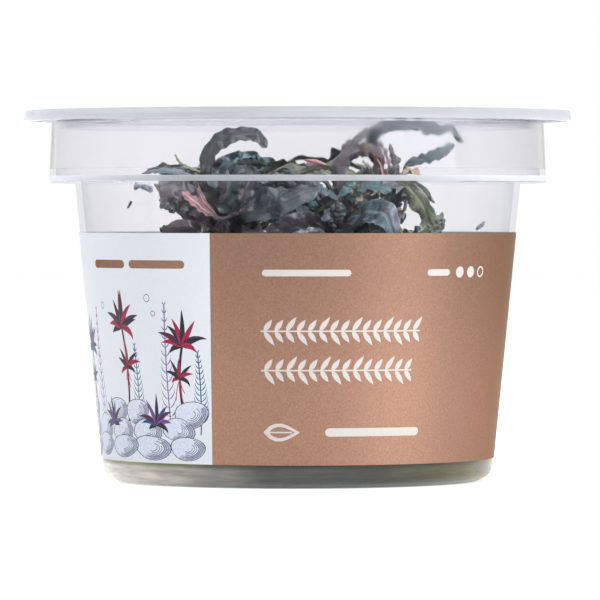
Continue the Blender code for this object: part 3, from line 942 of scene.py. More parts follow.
def stone(x, z, wide, tall):
    """A stone: its outline, a pale wash, a deeper one in its shadow, and pencilled contours."""
    shapes = [("line_ink", oval(x, z, wide, tall)), ("mist_ink", oval(x, z, wide, tall, 0.95))]
    shadow = oval(x, z, wide, tall, 0.93, -120, 40) + oval(x, z, wide, tall, 0.6, 40, -120)
    shapes.append(("wash_ink", shadow))
    for share in CONTOUR_SHARES:
        reach = pen.uniform(20, 70)
        contour = oval(x, z, wide, tall, share, -130 + reach / 2, reach, 12)
        shapes.append(("pencil_ink", stroke(contour, PENCIL_WIDTH)))
    return shapes


def heap(left, right):
    """Stones in three rows along the foot of the drawing. The back row comes first."""
    shapes = []
    for row, z, wide, tall in STONE_ROWS:
        step = 2 * wide * 0.94
        count = int((right - left - 2 * wide) / step) + 1
        for number in range(count):
            if row == 2 and number % 3 == 1:
                continue
            x = right - wide * 1.12 - number * step - (row == 1) * 2.2
            size = pen.uniform(0.86, 1.08)
            shapes += stone(x, z + pen.uniform(-0.3, 0.4), wide * size, tall * size)
    return shapes


print("the stones are", len(STONE_ROWS), "rows deep")

# %% Water plants
def fan(x, z, size, count, inks):
    """A tuft of arching leaves that spread from one foot, each with a pencilled midrib."""
    shapes = []
    for number in range(count):
        share = number / (count - 1)
        direction = 168 - 156 * share + pen.uniform(-9, 9)
        length = size * (0.6 + 0.5 * math.sin(math.pi * share)) * pen.uniform(0.8, 1.15)
        line = bent(x, z, direction, length, (0.5 - share) * 120 + pen.uniform(-20, 20))
        shapes.append((inks[number % len(inks)], stroke(line, size * 0.19, leaf_like)))
        shapes.append(("line_ink", stroke(line[:-1], 0.1)))
    return shapes


def stalked_fan(x, z, height, lean, size, inks):
    """A fan on a dark stalk with a few thin hanging roots, and a smaller fan halfway up."""
    line = bent(x, z, 90 - lean, height, 2 * lean)
    middle = line[len(line) // 2]
    shapes = [("line_ink", stroke(line, 0.5))]
    for number in range(4):
        drop = pen.uniform(2.0, 4.5)
        root = bent(*middle, -80 - 12 * number, drop, 20)
        shapes.append(("crimson_ink", stroke(root, 0.16)))
    shapes += fan(*middle, size * 0.7, 7, inks[::-1])
    shapes += fan(*line[-1], size, 10, inks)
    return shapes


def feather(x, z, height, lean, ink):
    """A feathery stem: pairs of fine upswept hairs that shorten towards its tip."""
    line = bent(x, z, 90 - lean, height, 2 * lean, 15)
    shapes = [(ink, stroke(line, 0.24))]
    for number, (left, low) in enumerate(line[2:], 2):
        length = 2.9 * (1.15 - number / len(line))
        for direction, bend in ((28, 50), (152, -50)):
            hair = bent(left, low, direction, length, bend, 4)
            shapes.append((ink, stroke(hair, 0.2, leaf_like)))
    return shapes


print("a feathery stem has", len(feather(0, 0, 10, 0, "blue_ink")) - 1, "hairs")

# %% The plants of the drawing
DARK_INKS = ("line_ink", "crimson_ink", "plum_ink", "line_ink", "crimson_ink")
COOL_INKS = ("line_ink", "blue_ink", "plum_ink", "violet_ink")
FEATHERS = (
    (-17.6, 14, 5, "blue_ink"),
    (-23.8, 22, -3, "violet_ink"),
    (-31.6, 15, 4, "blue_ink"),
    (-44.4, 21, -5, "violet_ink"),
    (-55.0, 16, 3, "blue_ink"),
    (-66.0, 22, 5, "violet_ink"),
    (-75.0, 14, -4, "blue_ink"),
)
STALKED_FANS = (
    (-20.6, 13.0, -12, 5.4, DARK_INKS),
    (-34.8, 16.0, 10, 6.0, DARK_INKS),
    (-49.6, 12.0, -8, 5.4, COOL_INKS),
    (-61.0, 15.0, 12, 5.8, DARK_INKS),
    (-71.4, 11.0, -10, 5.0, COOL_INKS),
)
LOW_FANS = ((-27.2, 4.6), (-40.4, 4.4), (-55.4, 4.6), (-67.0, 4.2))
BUBBLES = ((-26.4, 29.4, 0.5), (-27.6, 32.0, 0.7), (-41.0, 30.6, 0.6))
print(len(FEATHERS) + len(STALKED_FANS) + len(LOW_FANS), "plants are drawn")

# %% White shapes on the bronze
DOT_PLACES = (29.8, 32.6, 35.4)


def leafy_line(left, right, z, size):
    """A straight stalk with pairs of small leaves along it, all in white."""
    shapes = [("white_ink", rectangle(left, z - 0.13, right, z + 0.13))]
    count = round((right - left) / (size * 0.62))
    for step in range(count):
        x = left + (right - left) * (step + 0.3) / count
        for direction in (54, -54):
            length = size * (0.8 if (step + (direction > 0)) % 3 else 1.0)
            shapes.append(("white_ink", lens(x, z, direction, length, size * 0.3)))
    return shapes


def leaf_outline(x, z, length):
    """A single leaf in outline, with its midrib."""
    inner = lens(x + 0.9, z, 0, length - 1.8, length * 0.3)
    return [
        ("white_ink", lens(x, z, 0, length, length * 0.48)),
        ("bronze_print", inner),
        ("white_ink", rectangle(x + 0.6, z - 0.12, x + length - 1.4, z + 0.12)),
    ]


print("a leafy line 10 mm long has", len(leafy_line(0, 10, 0, 3.0)) - 1, "leaves")

# %% Everything that is printed
def label_print():
    """Every printed shape, the lowest first, as (ink, outline) in millimetres on the flat film."""
    foot = LABEL_FOOT / MM
    top = LABEL_TOP / MM
    left = across(PANEL_LEFT)
    foot_right = across(PANEL_RIGHT_FOOT)
    top_right = across(PANEL_RIGHT_TOP)
    shapes = [("pale_print", [(left, foot), (foot_right, foot), (top_right, top), (left, top)])]
    for x, height, lean, ink in FEATHERS:
        shapes += feather(x, 9.0, height, lean, ink)
    for x, height, lean, size, inks in STALKED_FANS:
        shapes += stalked_fan(x, 11.0, height, lean, size, inks)
    shapes += heap(left, foot_right)
    for x, size in LOW_FANS:
        shapes += fan(x, 10.4, size, 9, COOL_INKS)
    for x, z, radius in BUBBLES:
        shapes.append(("pencil_ink", disc(x, z, radius)))
        shapes.append(("pale_print", disc(x, z, radius - 0.14)))
    for bar_left, bar_right in ((-42.6, -32.6), (-31.4, -19.2)):
        shapes.append(("bronze_print", rounded_bar(bar_left, 37.0, bar_right, 38.4)))
    shapes.append(("white_ink", rounded_bar(-5.8, 35.8, 8.8, 36.9)))
    shapes.append(("white_ink", rounded_bar(22.6, 35.8, 27.4, 36.9)))
    for x in DOT_PLACES:
        shapes.append(("white_ink", disc(x, 36.4, 0.95)))
    shapes.append(("bronze_print", disc(DOT_PLACES[-1], 36.4, 0.68)))
    shapes += leafy_line(-6.2, 21.6, 26.6, 3.0)
    shapes += leafy_line(-6.2, 20.4, 20.0, 3.0)
    shapes += leaf_outline(-6.0, 9.6, 6.4)
    shapes.append(("white_ink", rounded_bar(4.8, 8.9, 22.6, 10.3)))
    return shapes


printed = label_print()
print("the film has", len(printed), "printed shapes")

# %% [markdown]
# `delaunay_2d_cdt` takes loose points and the edges that have to survive, and returns
# triangles. Upright lines every few degrees go in too, so that the film bends smoothly.

# %% Triangulating the flat film
def covers(outline, x, z):
    """Whether a point lies inside an outline, by counting the edges that a ray crosses."""
    inside = False
    for (x1, z1), (x2, z2) in zip(outline, outline[1:] + outline[:1]):
        if (z1 > z) != (z2 > z) and x < (x2 - x1) * (z - z1) / (z2 - z1) + x1:
            inside = not inside
    return inside


def flat_film(shapes):
    """Triangles of the flat film, with the ink of each."""
    points, edges = [], []
    edge_of_film = math.degrees(LABEL_HALF_ANGLE)
    steps = round(2 * edge_of_film / ROLL_STEP)
    foot = LABEL_FOOT / MM
    top = LABEL_TOP / MM
    for step in range(steps + 1):
        x = across(-edge_of_film + 2 * edge_of_film * step / steps)
        points += [Vector((x, foot)), Vector((x, top))]
        edges.append((2 * step, 2 * step + 1))
        if step:
            edges += [(2 * step - 2, 2 * step), (2 * step - 1, 2 * step + 1)]
    for _, outline in shapes:
        first = len(points)
        points += [Vector(point) for point in outline]
        edges += [(first + i, first + (i + 1) % len(outline)) for i in range(len(outline))]
    verts, _, faces, *_ = delaunay_2d_cdt(points, edges, [], 0, 1e-6)
    limits = []
    for ink, outline in shapes:
        xs = [point[0] for point in outline]
        zs = [point[1] for point in outline]
        limits.append((min(xs), max(xs), min(zs), max(zs), ink, outline))
    inks = []
    for face in faces:
        middle = sum((verts[index] for index in face), Vector((0, 0))) / len(face)
        ink = "bronze_print"
        for left, right, low, high, name, outline in reversed(limits):
            if left < middle.x < right and low < middle.y < high and covers(outline, *middle):
                ink = name
                break
        inks.append(ink)
    return verts, faces, inks


film = flat_film(printed)
print("the flat film has", len(film[1]), "triangles")

# %% Rolling it up
def rolled(point, outward):
    """A point of the flat film on the cup, on the film's inner (0) or outer (1) face."""
    turn = point.x / LABEL_MIDDLE_RADIUS - math.pi / 2
    height = point.y * MM
    radius = body_radius(height) + LABEL_GAP + LABEL_THICKNESS * outward
    return Vector((radius * math.cos(turn), radius * math.sin(turn), height))


def rolled_label(name, verts, faces, inks, ink_order):
    """The film rolled round the cup: an inked outer face, a plain inner one, and edges."""
    edit = bmesh.new()
    outer = [edit.verts.new(rolled(point, 1)) for point in verts]
    inner = [edit.verts.new(rolled(point, 0)) for point in verts]
    for face, ink in zip(faces, inks):
        made = edit.faces.new([outer[index] for index in face])
        made.material_index = ink_order.index(ink)
        back = edit.faces.new([inner[index] for index in reversed(face)])
        back.material_index = ink_order.index("film_back")
    edit.verts.index_update()
    for edge in [edge for edge in edit.edges if len(edge.link_faces) == 1]:
        first, second = (vert.index for vert in edge.verts)
        if first < len(verts) and second < len(verts):
            side = edit.faces.new((outer[first], outer[second], inner[second], inner[first]))
            side.material_index = ink_order.index("film_back")
    bmesh.ops.recalc_face_normals(edit, faces=edit.faces)
    return new_piece(name, edit)


# %% [markdown]
# The bronze is a satin metallic print with a fine speckle that breaks up the light. Towards
# the top it darkens: a painted shade, where the collar overhangs the film and less light comes
# up from the floor. Its specular tint keeps it warm where the film turns away at the sides. The
# pale panel and the inks share its film, so they share its gloss.

# %% Inks and film
# Each ink has a colour, a roughness, and how metallic it is.
INKS = {
    "bronze_print": ((0.305, 0.176, 0.125, 1), 0.4, 0.85),
    "pale_print": ((0.625, 0.655, 0.7, 1), 0.35, 0.0),
    "mist_ink": ((0.56, 0.6, 0.7, 1), 0.4, 0.0),
    "wash_ink": ((0.33, 0.36, 0.47, 1), 0.4, 0.0),
    "pencil_ink": ((0.12, 0.13, 0.19, 1), 0.4, 0.0),
    "line_ink": ((0.014, 0.015, 0.028, 1), 0.4, 0.0),
    "crimson_ink": ((0.34, 0.012, 0.06, 1), 0.4, 0.0),
    "plum_ink": ((0.08, 0.012, 0.045, 1), 0.4, 0.0),
    "blue_ink": ((0.02, 0.075, 0.2, 1), 0.4, 0.0),
    "violet_ink": ((0.15, 0.07, 0.26, 1), 0.4, 0.0),
    "white_ink": ((0.5, 0.47, 0.455, 1), 0.35, 0.0),
    "film_back": ((0.8, 0.8, 0.8, 1), 0.5, 0.0),
}
TOP_SHADE_FROM = 12.0 * MM
TOP_SHADE_DARKEST = 0.78
BRONZE_EDGE = (0.5, 0.38, 0.3, 1.0)
GRAIN_OF_PRINT = {"bronze_print": 0.3, "wash_ink": 0.7, "mist_ink": 0.3}
PLAIN_GRAIN = 0.06


def make_ink(name, colour, roughness, metallic):
    """A printed ink under the film's thin clear coat."""
    material, tree, shader = new_material(
        name, roughness, Metallic=metallic, Specular_IOR_Level=0.2,
        Coat_Weight=0.06, Coat_Roughness=0.35,
    )
    look = use_group(
        tree, mottle, Coordinates=place_coordinates(tree), Colour=colour,
        Patch_Scale=45.0, Patch_Strength=0.06,
        Grain_Scale=3300.0, Grain_Strength=GRAIN_OF_PRINT.get(name, PLAIN_GRAIN),
    )
    print_and_shade = look["Colour"]
    if name == "bronze_print":
        shader.inputs["Specular Tint"].default_value = BRONZE_EDGE
        # Painted shade: the bronze darkens towards the top of the film, under the collar.
        depth = add_range(tree, place_axes(tree)["Z"], TOP_SHADE_FROM, LABEL_TOP, 1.0, TOP_SHADE_DARKEST)
        print_and_shade = add_mix(tree, 1.0, print_and_shade, depth, "MULTIPLY")
    tree.links.new(print_and_shade, shader.inputs["Base Color"])
    add_bump(tree, shader, look["Grain"], strength=0.12, distance=0.05 * MM)
    return material


ink_order = list(INKS)
label = rolled_label("wrap_label", *film, ink_order)
for ink in ink_order:
    label.data.materials.append(make_ink(ink, *INKS[ink]))
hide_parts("label")
print("the film has", len(label.data.polygons), "faces")

# %% [markdown]
# ## The gel
# The plant stands in a clear growing gel, a little greener than the plastic. Its flat top
# creeps up the wall in a thin curve, as every liquid did before it set. The gel is see-through
# with an absorption colour, so a deep look through it is darker than a shallow one.

# %% Gel
GEL_TOP = 8.6 * MM
GEL_CREEP = 0.7 * MM
GEL_CORNER = 1.4 * MM
GEL_IOR = 1.34
GEL_ROUGHNESS = 0.04
GEL_SURFACE_COLOUR = (0.97, 0.98, 0.95, 1.0)
GEL_SHADOW = (0.9, 0.92, 0.86, 1.0)
GEL_COLOUR = (0.62, 0.68, 0.56, 1.0)
GEL_DENSITY = 55.0


def gel_outline():
    """Corner points of the gel, which creeps up the wall round its flat top."""
    low = FLOOR_TOP + PIECE_GAP
    wall = CUP_WALL + PIECE_GAP
    return (
        (0.0, low, 0),
        (body_radius(low) - wall, low, GEL_CORNER),
        (body_radius(GEL_TOP + GEL_CREEP) - wall, GEL_TOP + GEL_CREEP, 0.02 * MM),
        (body_radius(GEL_TOP) - wall - GEL_CREEP, GEL_TOP + 0.1 * MM, 1.2 * MM),
        (body_radius(GEL_TOP) - wall - 4 * GEL_CREEP, GEL_TOP, 2.0 * MM),
        (0.0, GEL_TOP, 0),
    )


def make_gel_material():
    """A clear gel that takes away a little more light with each millimetre of depth."""
    material, tree, shader = new_material(
        "set growing gel", GEL_ROUGHNESS, Base_Color=GEL_SURFACE_COLOUR,
        IOR=GEL_IOR, Transmission_Weight=1.0,
    )
    depth = add_node(tree, "VolumeAbsorption", Color=GEL_COLOUR, Density=GEL_DENSITY)
    tree.links.new(depth.outputs["Volume"], tree.nodes["Material Output"].inputs["Volume"])
    marks = use_group(
        tree, mottle, Coordinates=place_coordinates(tree),
        Patch_Scale=180.0, Grain_Scale=900.0,
    )
    add_bump(tree, shader, marks["Patches"], strength=0.3, distance=0.5 * MM)
    let_light_through(tree, shader, GEL_SHADOW)
    return material


gel = turned("growing_gel", gel_outline())
gel.data.materials.append(make_gel_material())
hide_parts("gel")
print("gel surface at", round(GEL_TOP / MM, 1), "mm")

# %% [markdown]
# ## Where the plant grows
# The plant's shoots and leaves are at the same places as in the CAD part. Each stem is a
# smooth way through a few points, in millimetres. A leaf placed one by one also has such a way.
# The leaves at the back wind round their stem, each a golden angle on from the last.

# %% The ways of the stems
STEMS = {
    "front_left": ((-7, -10, 3.6), (-10, -14, 20), (-12.5, -18, 34), (-13, -20, 44.5)),
    "front_middle": ((2, -5, 3.6), (4, -9, 20), (6.5, -14, 35), (7, -16, 45.2)),
    "right": ((9, -1, 3.6), (12, -3, 22), (15, -6, 40), (16, -8, 53)),
    "back_left": ((-13, 8, 3.6), (-15, 10, 22), (-16, 10, 43)),
    "back_middle": ((-2, 13, 3.6), (-1, 18, 22), (-1, 19, 45)),
    "back_right": ((15, 11, 3.6), (17, 14, 22), (17, 14, 45)),
    "low_right": ((18, -12, 3.6), (20, -16, 20), (21, -17, 31)),
    "low_left": ((-19, -5, 3.6), (-22, -8, 18), (-23, -9, 30)),
}
STEM_FOOT_RADIUS = 2.1 * MM
STEM_TOP_RADIUS = 1.45 * MM
STEM_JOINT_SWELL = 0.12
STEM_RINGS = 8
print(len(STEMS), "stems, each a way through three or four points")

# %% The ways of the leaves in front
STALK_HALF_WIDTH = 0.75 * MM
STALK_SHARE = 0.3


class Leaf(NamedTuple):
    """A leaf placed one by one: where it leaves its stem (0 foot, 1 tip) and its midrib's points."""

    node: float
    width: float
    roll: float
    tone: str
    way: tuple


PLACED_LEAVES = {
    "front_left": (
        Leaf(0.94, 4.6, 80, "slate",
             ((-16, -22.5, 46.4), (-19.2, -24, 49.6), (-21.4, -24.5, 50.2), (-23.2, -24.2, 47))),
        Leaf(0.97, 3.6, 35, "slate",
             ((-15.6, -20.5, 48), (-18.4, -20, 51), (-20.6, -18, 53.4), (-26, -14, 53.4))),
        Leaf(1.0, 3.4, 90, "slate",
             ((-15.4, -19, 50), (-15.4, -19, 54.4), (-14, -19, 57.6), (-10.8, -19, 59.4),
              (-7.4, -19, 59.5), (-5.2, -19, 57.4))),
        Leaf(0.98, 4.0, 62, "teal",
             ((-12.8, -16, 49), (-12.6, -13, 53.2), (-8.2, -9, 55.2), (-3.4, -6, 54.4))),
        Leaf(0.95, 5.4, 78, "teal",
             ((-12, -23.6, 46.6), (-11, -26, 49.2), (-9.4, -25.5, 51.6), (-6.6, -22, 53.6))),
        Leaf(0.91, 7.2, 74, "slate",
             ((-9.6, -23, 45.4), (-6, -25.5, 47.2), (-1, -27, 48.6), (3.6, -26.2, 50.4))),
        Leaf(0.84, 4.4, 50, "plum",
             ((-15.4, -22.8, 41.6), (-18.4, -24.6, 43.6), (-21, -25, 43.8), (-23.2, -24.2, 42))),
    ),
    "front_middle": (
        Leaf(0.9, 3.8, 70, "plum",
             ((3.8, -12.8, 46.4), (-0.4, -11.8, 49.2), (-4.2, -12, 50.6), (-8.2, -13, 49.4))),
        Leaf(0.97, 4.2, 56, "olive",
             ((5.6, -16, 49.6), (3.8, -16, 52.6), (0.6, -16, 54), (-3, -16, 53.8), (-5.6, -16, 52.4))),
        Leaf(0.99, 3.0, 82, "tan", ((9, -17.6, 47.8), (10.6, -17.8, 49.8), (12.4, -16, 52))),
        Leaf(0.92, 5.2, 80, "slate",
             ((9.6, -19.6, 45.2), (12.4, -22, 46.4), (15, -23.4, 45.6), (16.4, -24, 41.6))),
        Leaf(1.0, 3.8, 74, "slate",
             ((7.2, -18.8, 50), (6.6, -19, 53.6), (8.4, -17.6, 57.4), (12, -14.6, 61))),
        Leaf(0.9, 4.2, 66, "plum", ((9.4, -13.4, 46), (10.8, -11.6, 48.8), (11.4, -9.8, 51.4))),
        Leaf(0.88, 4.8, 66, "slate",
             ((3.8, -19, 44), (0.4, -21.6, 44.2), (-3.4, -22.8, 43), (-6.4, -23, 40.6))),
        Leaf(0.8, 4.4, 62, "teal", ((3.6, -10, 42), (1.2, -7, 46.4), (-1.4, -4.6, 49), (-4.8, -2.6, 50))),
    ),
    "right": (
        Leaf(1.0, 4.4, 42, "slate",
             ((14, -8.6, 56.8), (12.9, -9, 59.6), (15.6, -9, 61), (21, -8.6, 60.9), (26, -7.4, 60.2),
              (28.4, -6.4, 58.4))),
        Leaf(0.98, 3.6, 55, "teal",
             ((18.8, -6.6, 54.6), (22, -4.6, 55.6), (25, -2.6, 56.8), (27, -1, 58.4))),
        Leaf(0.97, 4.6, 58, "slate",
             ((13.4, -6.6, 55.2), (10.8, -5.6, 57), (8, -5, 56.8), (4.4, -4.4, 54.6))),
        Leaf(0.99, 3.6, 60, "plum",
             ((14.4, -10.8, 55.6), (12.4, -12, 57), (9.8, -12.4, 56.6), (7.4, -12.2, 54.2))),
        Leaf(0.95, 2.8, 66, "tan", ((18, -10.4, 53), (20, -11.2, 53.4), (21.2, -12, 52.6))),
        Leaf(0.92, 5.2, 80, "olive",
             ((17.8, -12.4, 51.4), (20, -15.6, 49.8), (21.9, -18, 46.8), (22.4, -19, 43.8),
              (22.2, -19.4, 41))),
        Leaf(0.88, 1.9, 80, "slate", ((19, -8.6, 49.4), (21.6, -11, 50.4), (23.4, -13.6, 48))),
        Leaf(0.84, 4.8, 64, "slate", ((14, -11, 47.4), (13.4, -14.6, 46.4), (12.6, -16.6, 43.2))),
    ),
}
print(sum(map(len, PLACED_LEAVES.values())), "leaves in front, each placed by hand")

# %% The leaves that wind up a stem
LEAF_RINGS = 11
GOLDEN_ANGLE = 137.5
TURN_STEP = 15
SHORTENED = (1.0, 0.86, 0.72)
RISE_SHARES = (0.36, 0.36, 0.28)


class Whorl(NamedTuple):
    """Leaves that wind up a stem."""

    count: int
    last_node: float
    first_turn: float
    length: float
    rise: tuple
    width: float
    tones: tuple


WHORLS = {
    "back_left": Whorl(6, 0.7, 205, 24, (56, 22, -20), 5.0, ("slate", "teal", "olive")),
    "back_middle": Whorl(6, 0.7, 80, 24, (54, 20, -24), 5.2, ("teal", "slate", "plum")),
    "back_right": Whorl(6, 0.7, 320, 24, (58, 24, -16), 5.0, ("olive", "slate", "teal")),
    "low_right": Whorl(2, 0.85, 350, 24, (62, 40, 14), 4.6, ("slate", "olive")),
    "low_left": Whorl(3, 0.7, 150, 24, (62, 40, 6), 4.6, ("teal", "plum", "slate")),
}
print(sum(whorl.count for whorl in WHORLS.values()), "leaves that wind up a stem")

# %% [markdown]
# A leaf's way is a Catmull-Rom curve: it passes through its points without a kink. The points
# are then spaced evenly, so that the blade's width can be given by a share of its length.
# `carried` slides a side direction along the way without twisting it, which is what keeps a
# blade from spinning round its midrib at a sharp bend.

# %% Curves in space
FINE_STEPS = 24


def smooth_way(points, count):
    """Evenly spaced points on a smooth curve through the given ones."""
    knots = [2 * points[0] - points[1], *points, 2 * points[-1] - points[-2]]
    fine = []
    for before, start, end, after in zip(knots, knots[1:], knots[2:], knots[3:]):
        for step in range(FINE_STEPS):
            t = step / FINE_STEPS
            straight = 2 * start + (end - before) * t
            bend = (2 * before - 5 * start + 4 * end - after) * t * t
            turn = (3 * start - before - 3 * end + after) * t**3
            fine.append((straight + bend + turn) / 2)
    fine.append(points[-1])
    reach = [0.0]
    for start, end in zip(fine, fine[1:]):
        reach.append(reach[-1] + (end - start).length)
    spaced = []
    index = 0
    for step in range(count):
        wanted = reach[-1] * step / (count - 1)
        while index < len(reach) - 2 and reach[index + 1] < wanted:
            index += 1
        share = (wanted - reach[index]) / (reach[index + 1] - reach[index])
        spaced.append(fine[index].lerp(fine[index + 1], share))
    return spaced


def directions(way):
    """Unit directions along a row of points."""
    ahead = [(end - start).normalized() for start, end in zip(way, way[1:])]
    middle = [(first + second).normalized() for first, second in zip(ahead, ahead[1:])]
    return [ahead[0], *middle, ahead[-1]]


def carried(way, first_side):
    """A side direction carried along a row of points without twisting."""
    sides = []
    side = first_side
    for along in directions(way):
        side = (side - along * side.dot(along)).normalized()
        sides.append(side)
    return sides


def millimetres(points):
    """Points given in millimetres, as vectors in metres."""
    return [Vector(point) * MM for point in points]


sample = smooth_way(millimetres(STEMS["right"]), STEM_RINGS)
print("the right stem rises by", round((sample[-1].z - sample[0].z) / MM, 1), "mm")

# %% Where a leaf leaves its stem
def stem_radius(share):
    """A stem's radius at a share of its length."""
    return STEM_FOOT_RADIUS + (STEM_TOP_RADIUS - STEM_FOOT_RADIUS) * share


def stem_point(stem, node):
    """The middle of a stem at a share of its length, and the direction it grows in there."""
    way = smooth_way(millimetres(STEMS[stem]), STEM_RINGS)
    place = node * (len(way) - 1)
    index = min(int(place), len(way) - 2)
    middle = way[index].lerp(way[index + 1], place - index)
    return middle, (way[index + 1] - way[index]).normalized()


def leaf_base(stem, node, toward, clear=None):
    """The point beside the stem where a stalk begins, on the side it grows to."""
    middle, along = stem_point(stem, node)
    out = toward - middle
    out = (out - along * out.dot(along)).normalized()
    if clear is None:
        clear = stem_radius(node) * (1 + STEM_JOINT_SWELL) + PIECE_GAP + STALK_HALF_WIDTH
    return middle + out * clear


def arching_points(stem, node, turn, length, rise):
    """The points of a leaf that climbs from the stem, levels out and droops."""
    out = Vector((math.cos(turn), math.sin(turn), 0))
    crown = smooth_way(millimetres(STEMS[stem]), STEM_RINGS)[-1]
    points = [leaf_base(stem, node, crown + out * length)]
    for share, angle in zip(RISE_SHARES, rise):
        step = length * share
        climb = math.radians(angle)
        points.append(
            points[-1] + out * step * math.cos(climb) + Vector((0, 0, step * math.sin(climb)))
        )
    return points


def whorl_leaf_points(stem, whorl, number, solid):
    """The way of a winding leaf. Its turn and length are those that fit its solid's box best."""
    low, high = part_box(solid)
    node = 1 - (1 - whorl.last_node) * number / (whorl.count - 1)
    first_turn = whorl.first_turn + GOLDEN_ANGLE * number
    best = None
    for shortened in SHORTENED:
        for attempt in range(round(360 / TURN_STEP)):
            turn = math.radians(first_turn + TURN_STEP * attempt)
            points = arching_points(stem, node, turn, whorl.length * MM * shortened, whorl.rise)
            way = smooth_way(points, LEAF_RINGS)
            corner = Vector([min(point[axis] for point in way) for axis in range(3)])
            other = Vector([max(point[axis] for point in way) for axis in range(3)])
            miss = (corner + other - low - high).length / 2 + (other - corner - high + low).length / 4
            if best is None or miss < best[0]:
                best = (miss, points)
    return best


# %% [markdown]
# ## The leaf
# A bucephalandra leaf is a thick dark blade on a short pink stalk. Its margins ripple, its
# midrib is a paler groove, and the underside is dull red. A flat card with a picture would
# look right from one side only. Here the leaf is a real skin: a round stalk that flattens
# into a thin blade, channelled along the midrib, with a ripple that grows towards the margin.
#
# Four numbers go with each vertex for the material to read: how far along the leaf it is,
# how far across, whether it is on the underside, and how light this one leaf is.

# %% The measures of a blade
class Blade(NamedTuple):
    """How a leaf's skin is spread: sizes in millimetres, angles in degrees."""

    width: float
    roll: float
    twist: float
    ripple: float
    ripples: float
    phase: float
    shade: float
    stalk: float = STALK_SHARE
    blunt: float = 0.62


STALK_RADIUS = 0.55 * MM
SHEATH_RADIUS = 0.95 * MM
SHEATH_SHARE = 0.14
FULL_STALK_WIDTH = 3.4
RAGGED = 0.24
RAGGED_SCALE = 15.0


def half_width(share, blade):
    """Half of the leaf's width at a share of its length. The margin is a little ragged."""
    sheath = max(0.0, 1 - share / SHEATH_SHARE)
    stalk = STALK_RADIUS + (SHEATH_RADIUS - STALK_RADIUS) * sheath
    stalk *= min(1.0, blade.width / FULL_STALK_WIDTH)
    if share <= blade.stalk:
        return stalk
    spread = (share - blade.stalk) / (1 - blade.stalk)
    belly = math.sin(math.pi * spread**0.85) ** blade.blunt * blade.width * MM / 2
    belly *= 1 + RAGGED * noise.noise(Vector((share * RAGGED_SCALE, blade.phase * 5, 0)))
    return max(belly, stalk * (1 - spread))


def painted_share(share, blade):
    """A share of the leaf's length, moved so that the painted stalk ends where the stalk does."""
    if share < blade.stalk:
        return share / blade.stalk * STALK_SHARE
    return STALK_SHARE + (1 - STALK_SHARE) * (share - blade.stalk) / (1 - blade.stalk)


def section(columns):
    """Places round the leaf's section as (across, side): over the top, then back below."""
    over = [(column / columns, 1) for column in range(-columns, columns + 1)]
    under = [(column / columns, -1) for column in range(columns - 1, -columns, -1)]
    return over + under


broad = Blade(width=5, roll=0, twist=0, ripple=0, ripples=1, phase=0, shade=1)
print("halfway along, a blade 5 mm wide measures", round(2 * half_width(0.5, broad) / MM, 1), "mm")

# %% Spreading a blade along its midrib
BLADE_EDGE = 0.05 * MM
BLADE_MIDDLE = 0.26 * MM
BLADE_CHANNEL = 0.2
CREASES = ((9.0, 1.4, 0.32), (27.0, 3.0, 0.13))
FLATTENING = 6
RIPPLE_LAG = 1.9


def spread_leaf(edit, way, blade, columns, first_ring=0):
    """Adds one leaf's skin to an edited mesh, from a given ring of its way to its tip."""
    marks = {name: edit.verts.layers.float.get(name) for name in LEAF_MARKS}
    chord = way[-1] - way[0]
    first = directions(way)[0]
    side = chord.cross(Vector((0, 0, 1))).normalized()
    side = (side - first * side.dot(first)).normalized()
    side = Matrix.Rotation(math.radians(blade.roll), 3, first) @ side
    places = section(columns)
    rings = []
    headings = directions(way)
    for index, aside in enumerate(carried(way, side)[:-1]):
        share = index / (len(way) - 1)
        along = headings[index]
        twist = math.radians(blade.twist) * max(0.0, share - blade.stalk)
        aside = Matrix.Rotation(twist, 3, along) @ aside
        upward = aside.cross(along)
        half = half_width(share, blade)
        flat = min(1.0, max(0.0, (share - blade.stalk) * FLATTENING))
        wave = blade.ripple * MM * flat * math.sin(math.pi * min(1.0, 1.25 - share) * 0.9)
        ring = []
        for across_share, face in places:
            rounding = math.sqrt(max(0.0, 1 - across_share**2))
            phase = blade.phase + (RIPPLE_LAG if across_share > 0 else 0.0)
            lift = half * BLADE_CHANNEL * abs(across_share) * flat
            lift += wave * across_share**2 * math.sin(math.tau * blade.ripples * share + phase)
            for fine, wide, depth in CREASES:
                place = Vector((share * fine, across_share * wide, blade.phase * 7))
                lift += half * depth * noise.noise(place) * flat
            thin = BLADE_EDGE + (BLADE_MIDDLE - BLADE_EDGE) * (1 - abs(across_share)) ** 2
            thin *= 0.0 if abs(across_share) == 1 else 1.0
            thick = rounding * half * (1 - flat) + thin * flat
            point = way[index] + aside * half * across_share + upward * (lift + thick * face)
            vert = edit.verts.new(point)
            vert[marks["leaf_along"]] = painted_share(share, blade)
            vert[marks["leaf_across"]] = across_share
            vert[marks["leaf_under"]] = float(face < 0)
            vert[marks["leaf_shade"]] = blade.shade
            ring.append(vert)
        rings.append(ring)
    rings = rings[first_ring:]
    tip = edit.verts.new(way[-1])
    for name, value in zip(LEAF_MARKS, (1.0, 0.0, 0.0, blade.shade)):
        tip[marks[name]] = value
    count = len(places)
    for index in range(count):
        after = (index + 1) % count
        for lower, upper in zip(rings, rings[1:]):
            edit.faces.new((lower[index], lower[after], upper[after], upper[index]))
        edit.faces.new((rings[-1][index], rings[-1][after], tip))
    edit.faces.new(rings[0][::-1])


# %% An empty leaf
LEAF_MARKS = ("leaf_along", "leaf_across", "leaf_under", "leaf_shade")


def new_leaf_edit():
    """An empty edited mesh whose vertices can carry the marks of a leaf."""
    edit = bmesh.new()
    for name in LEAF_MARKS:
        edit.verts.layers.float.new(name)
    return edit


print("each vertex carries", ", ".join(LEAF_MARKS))

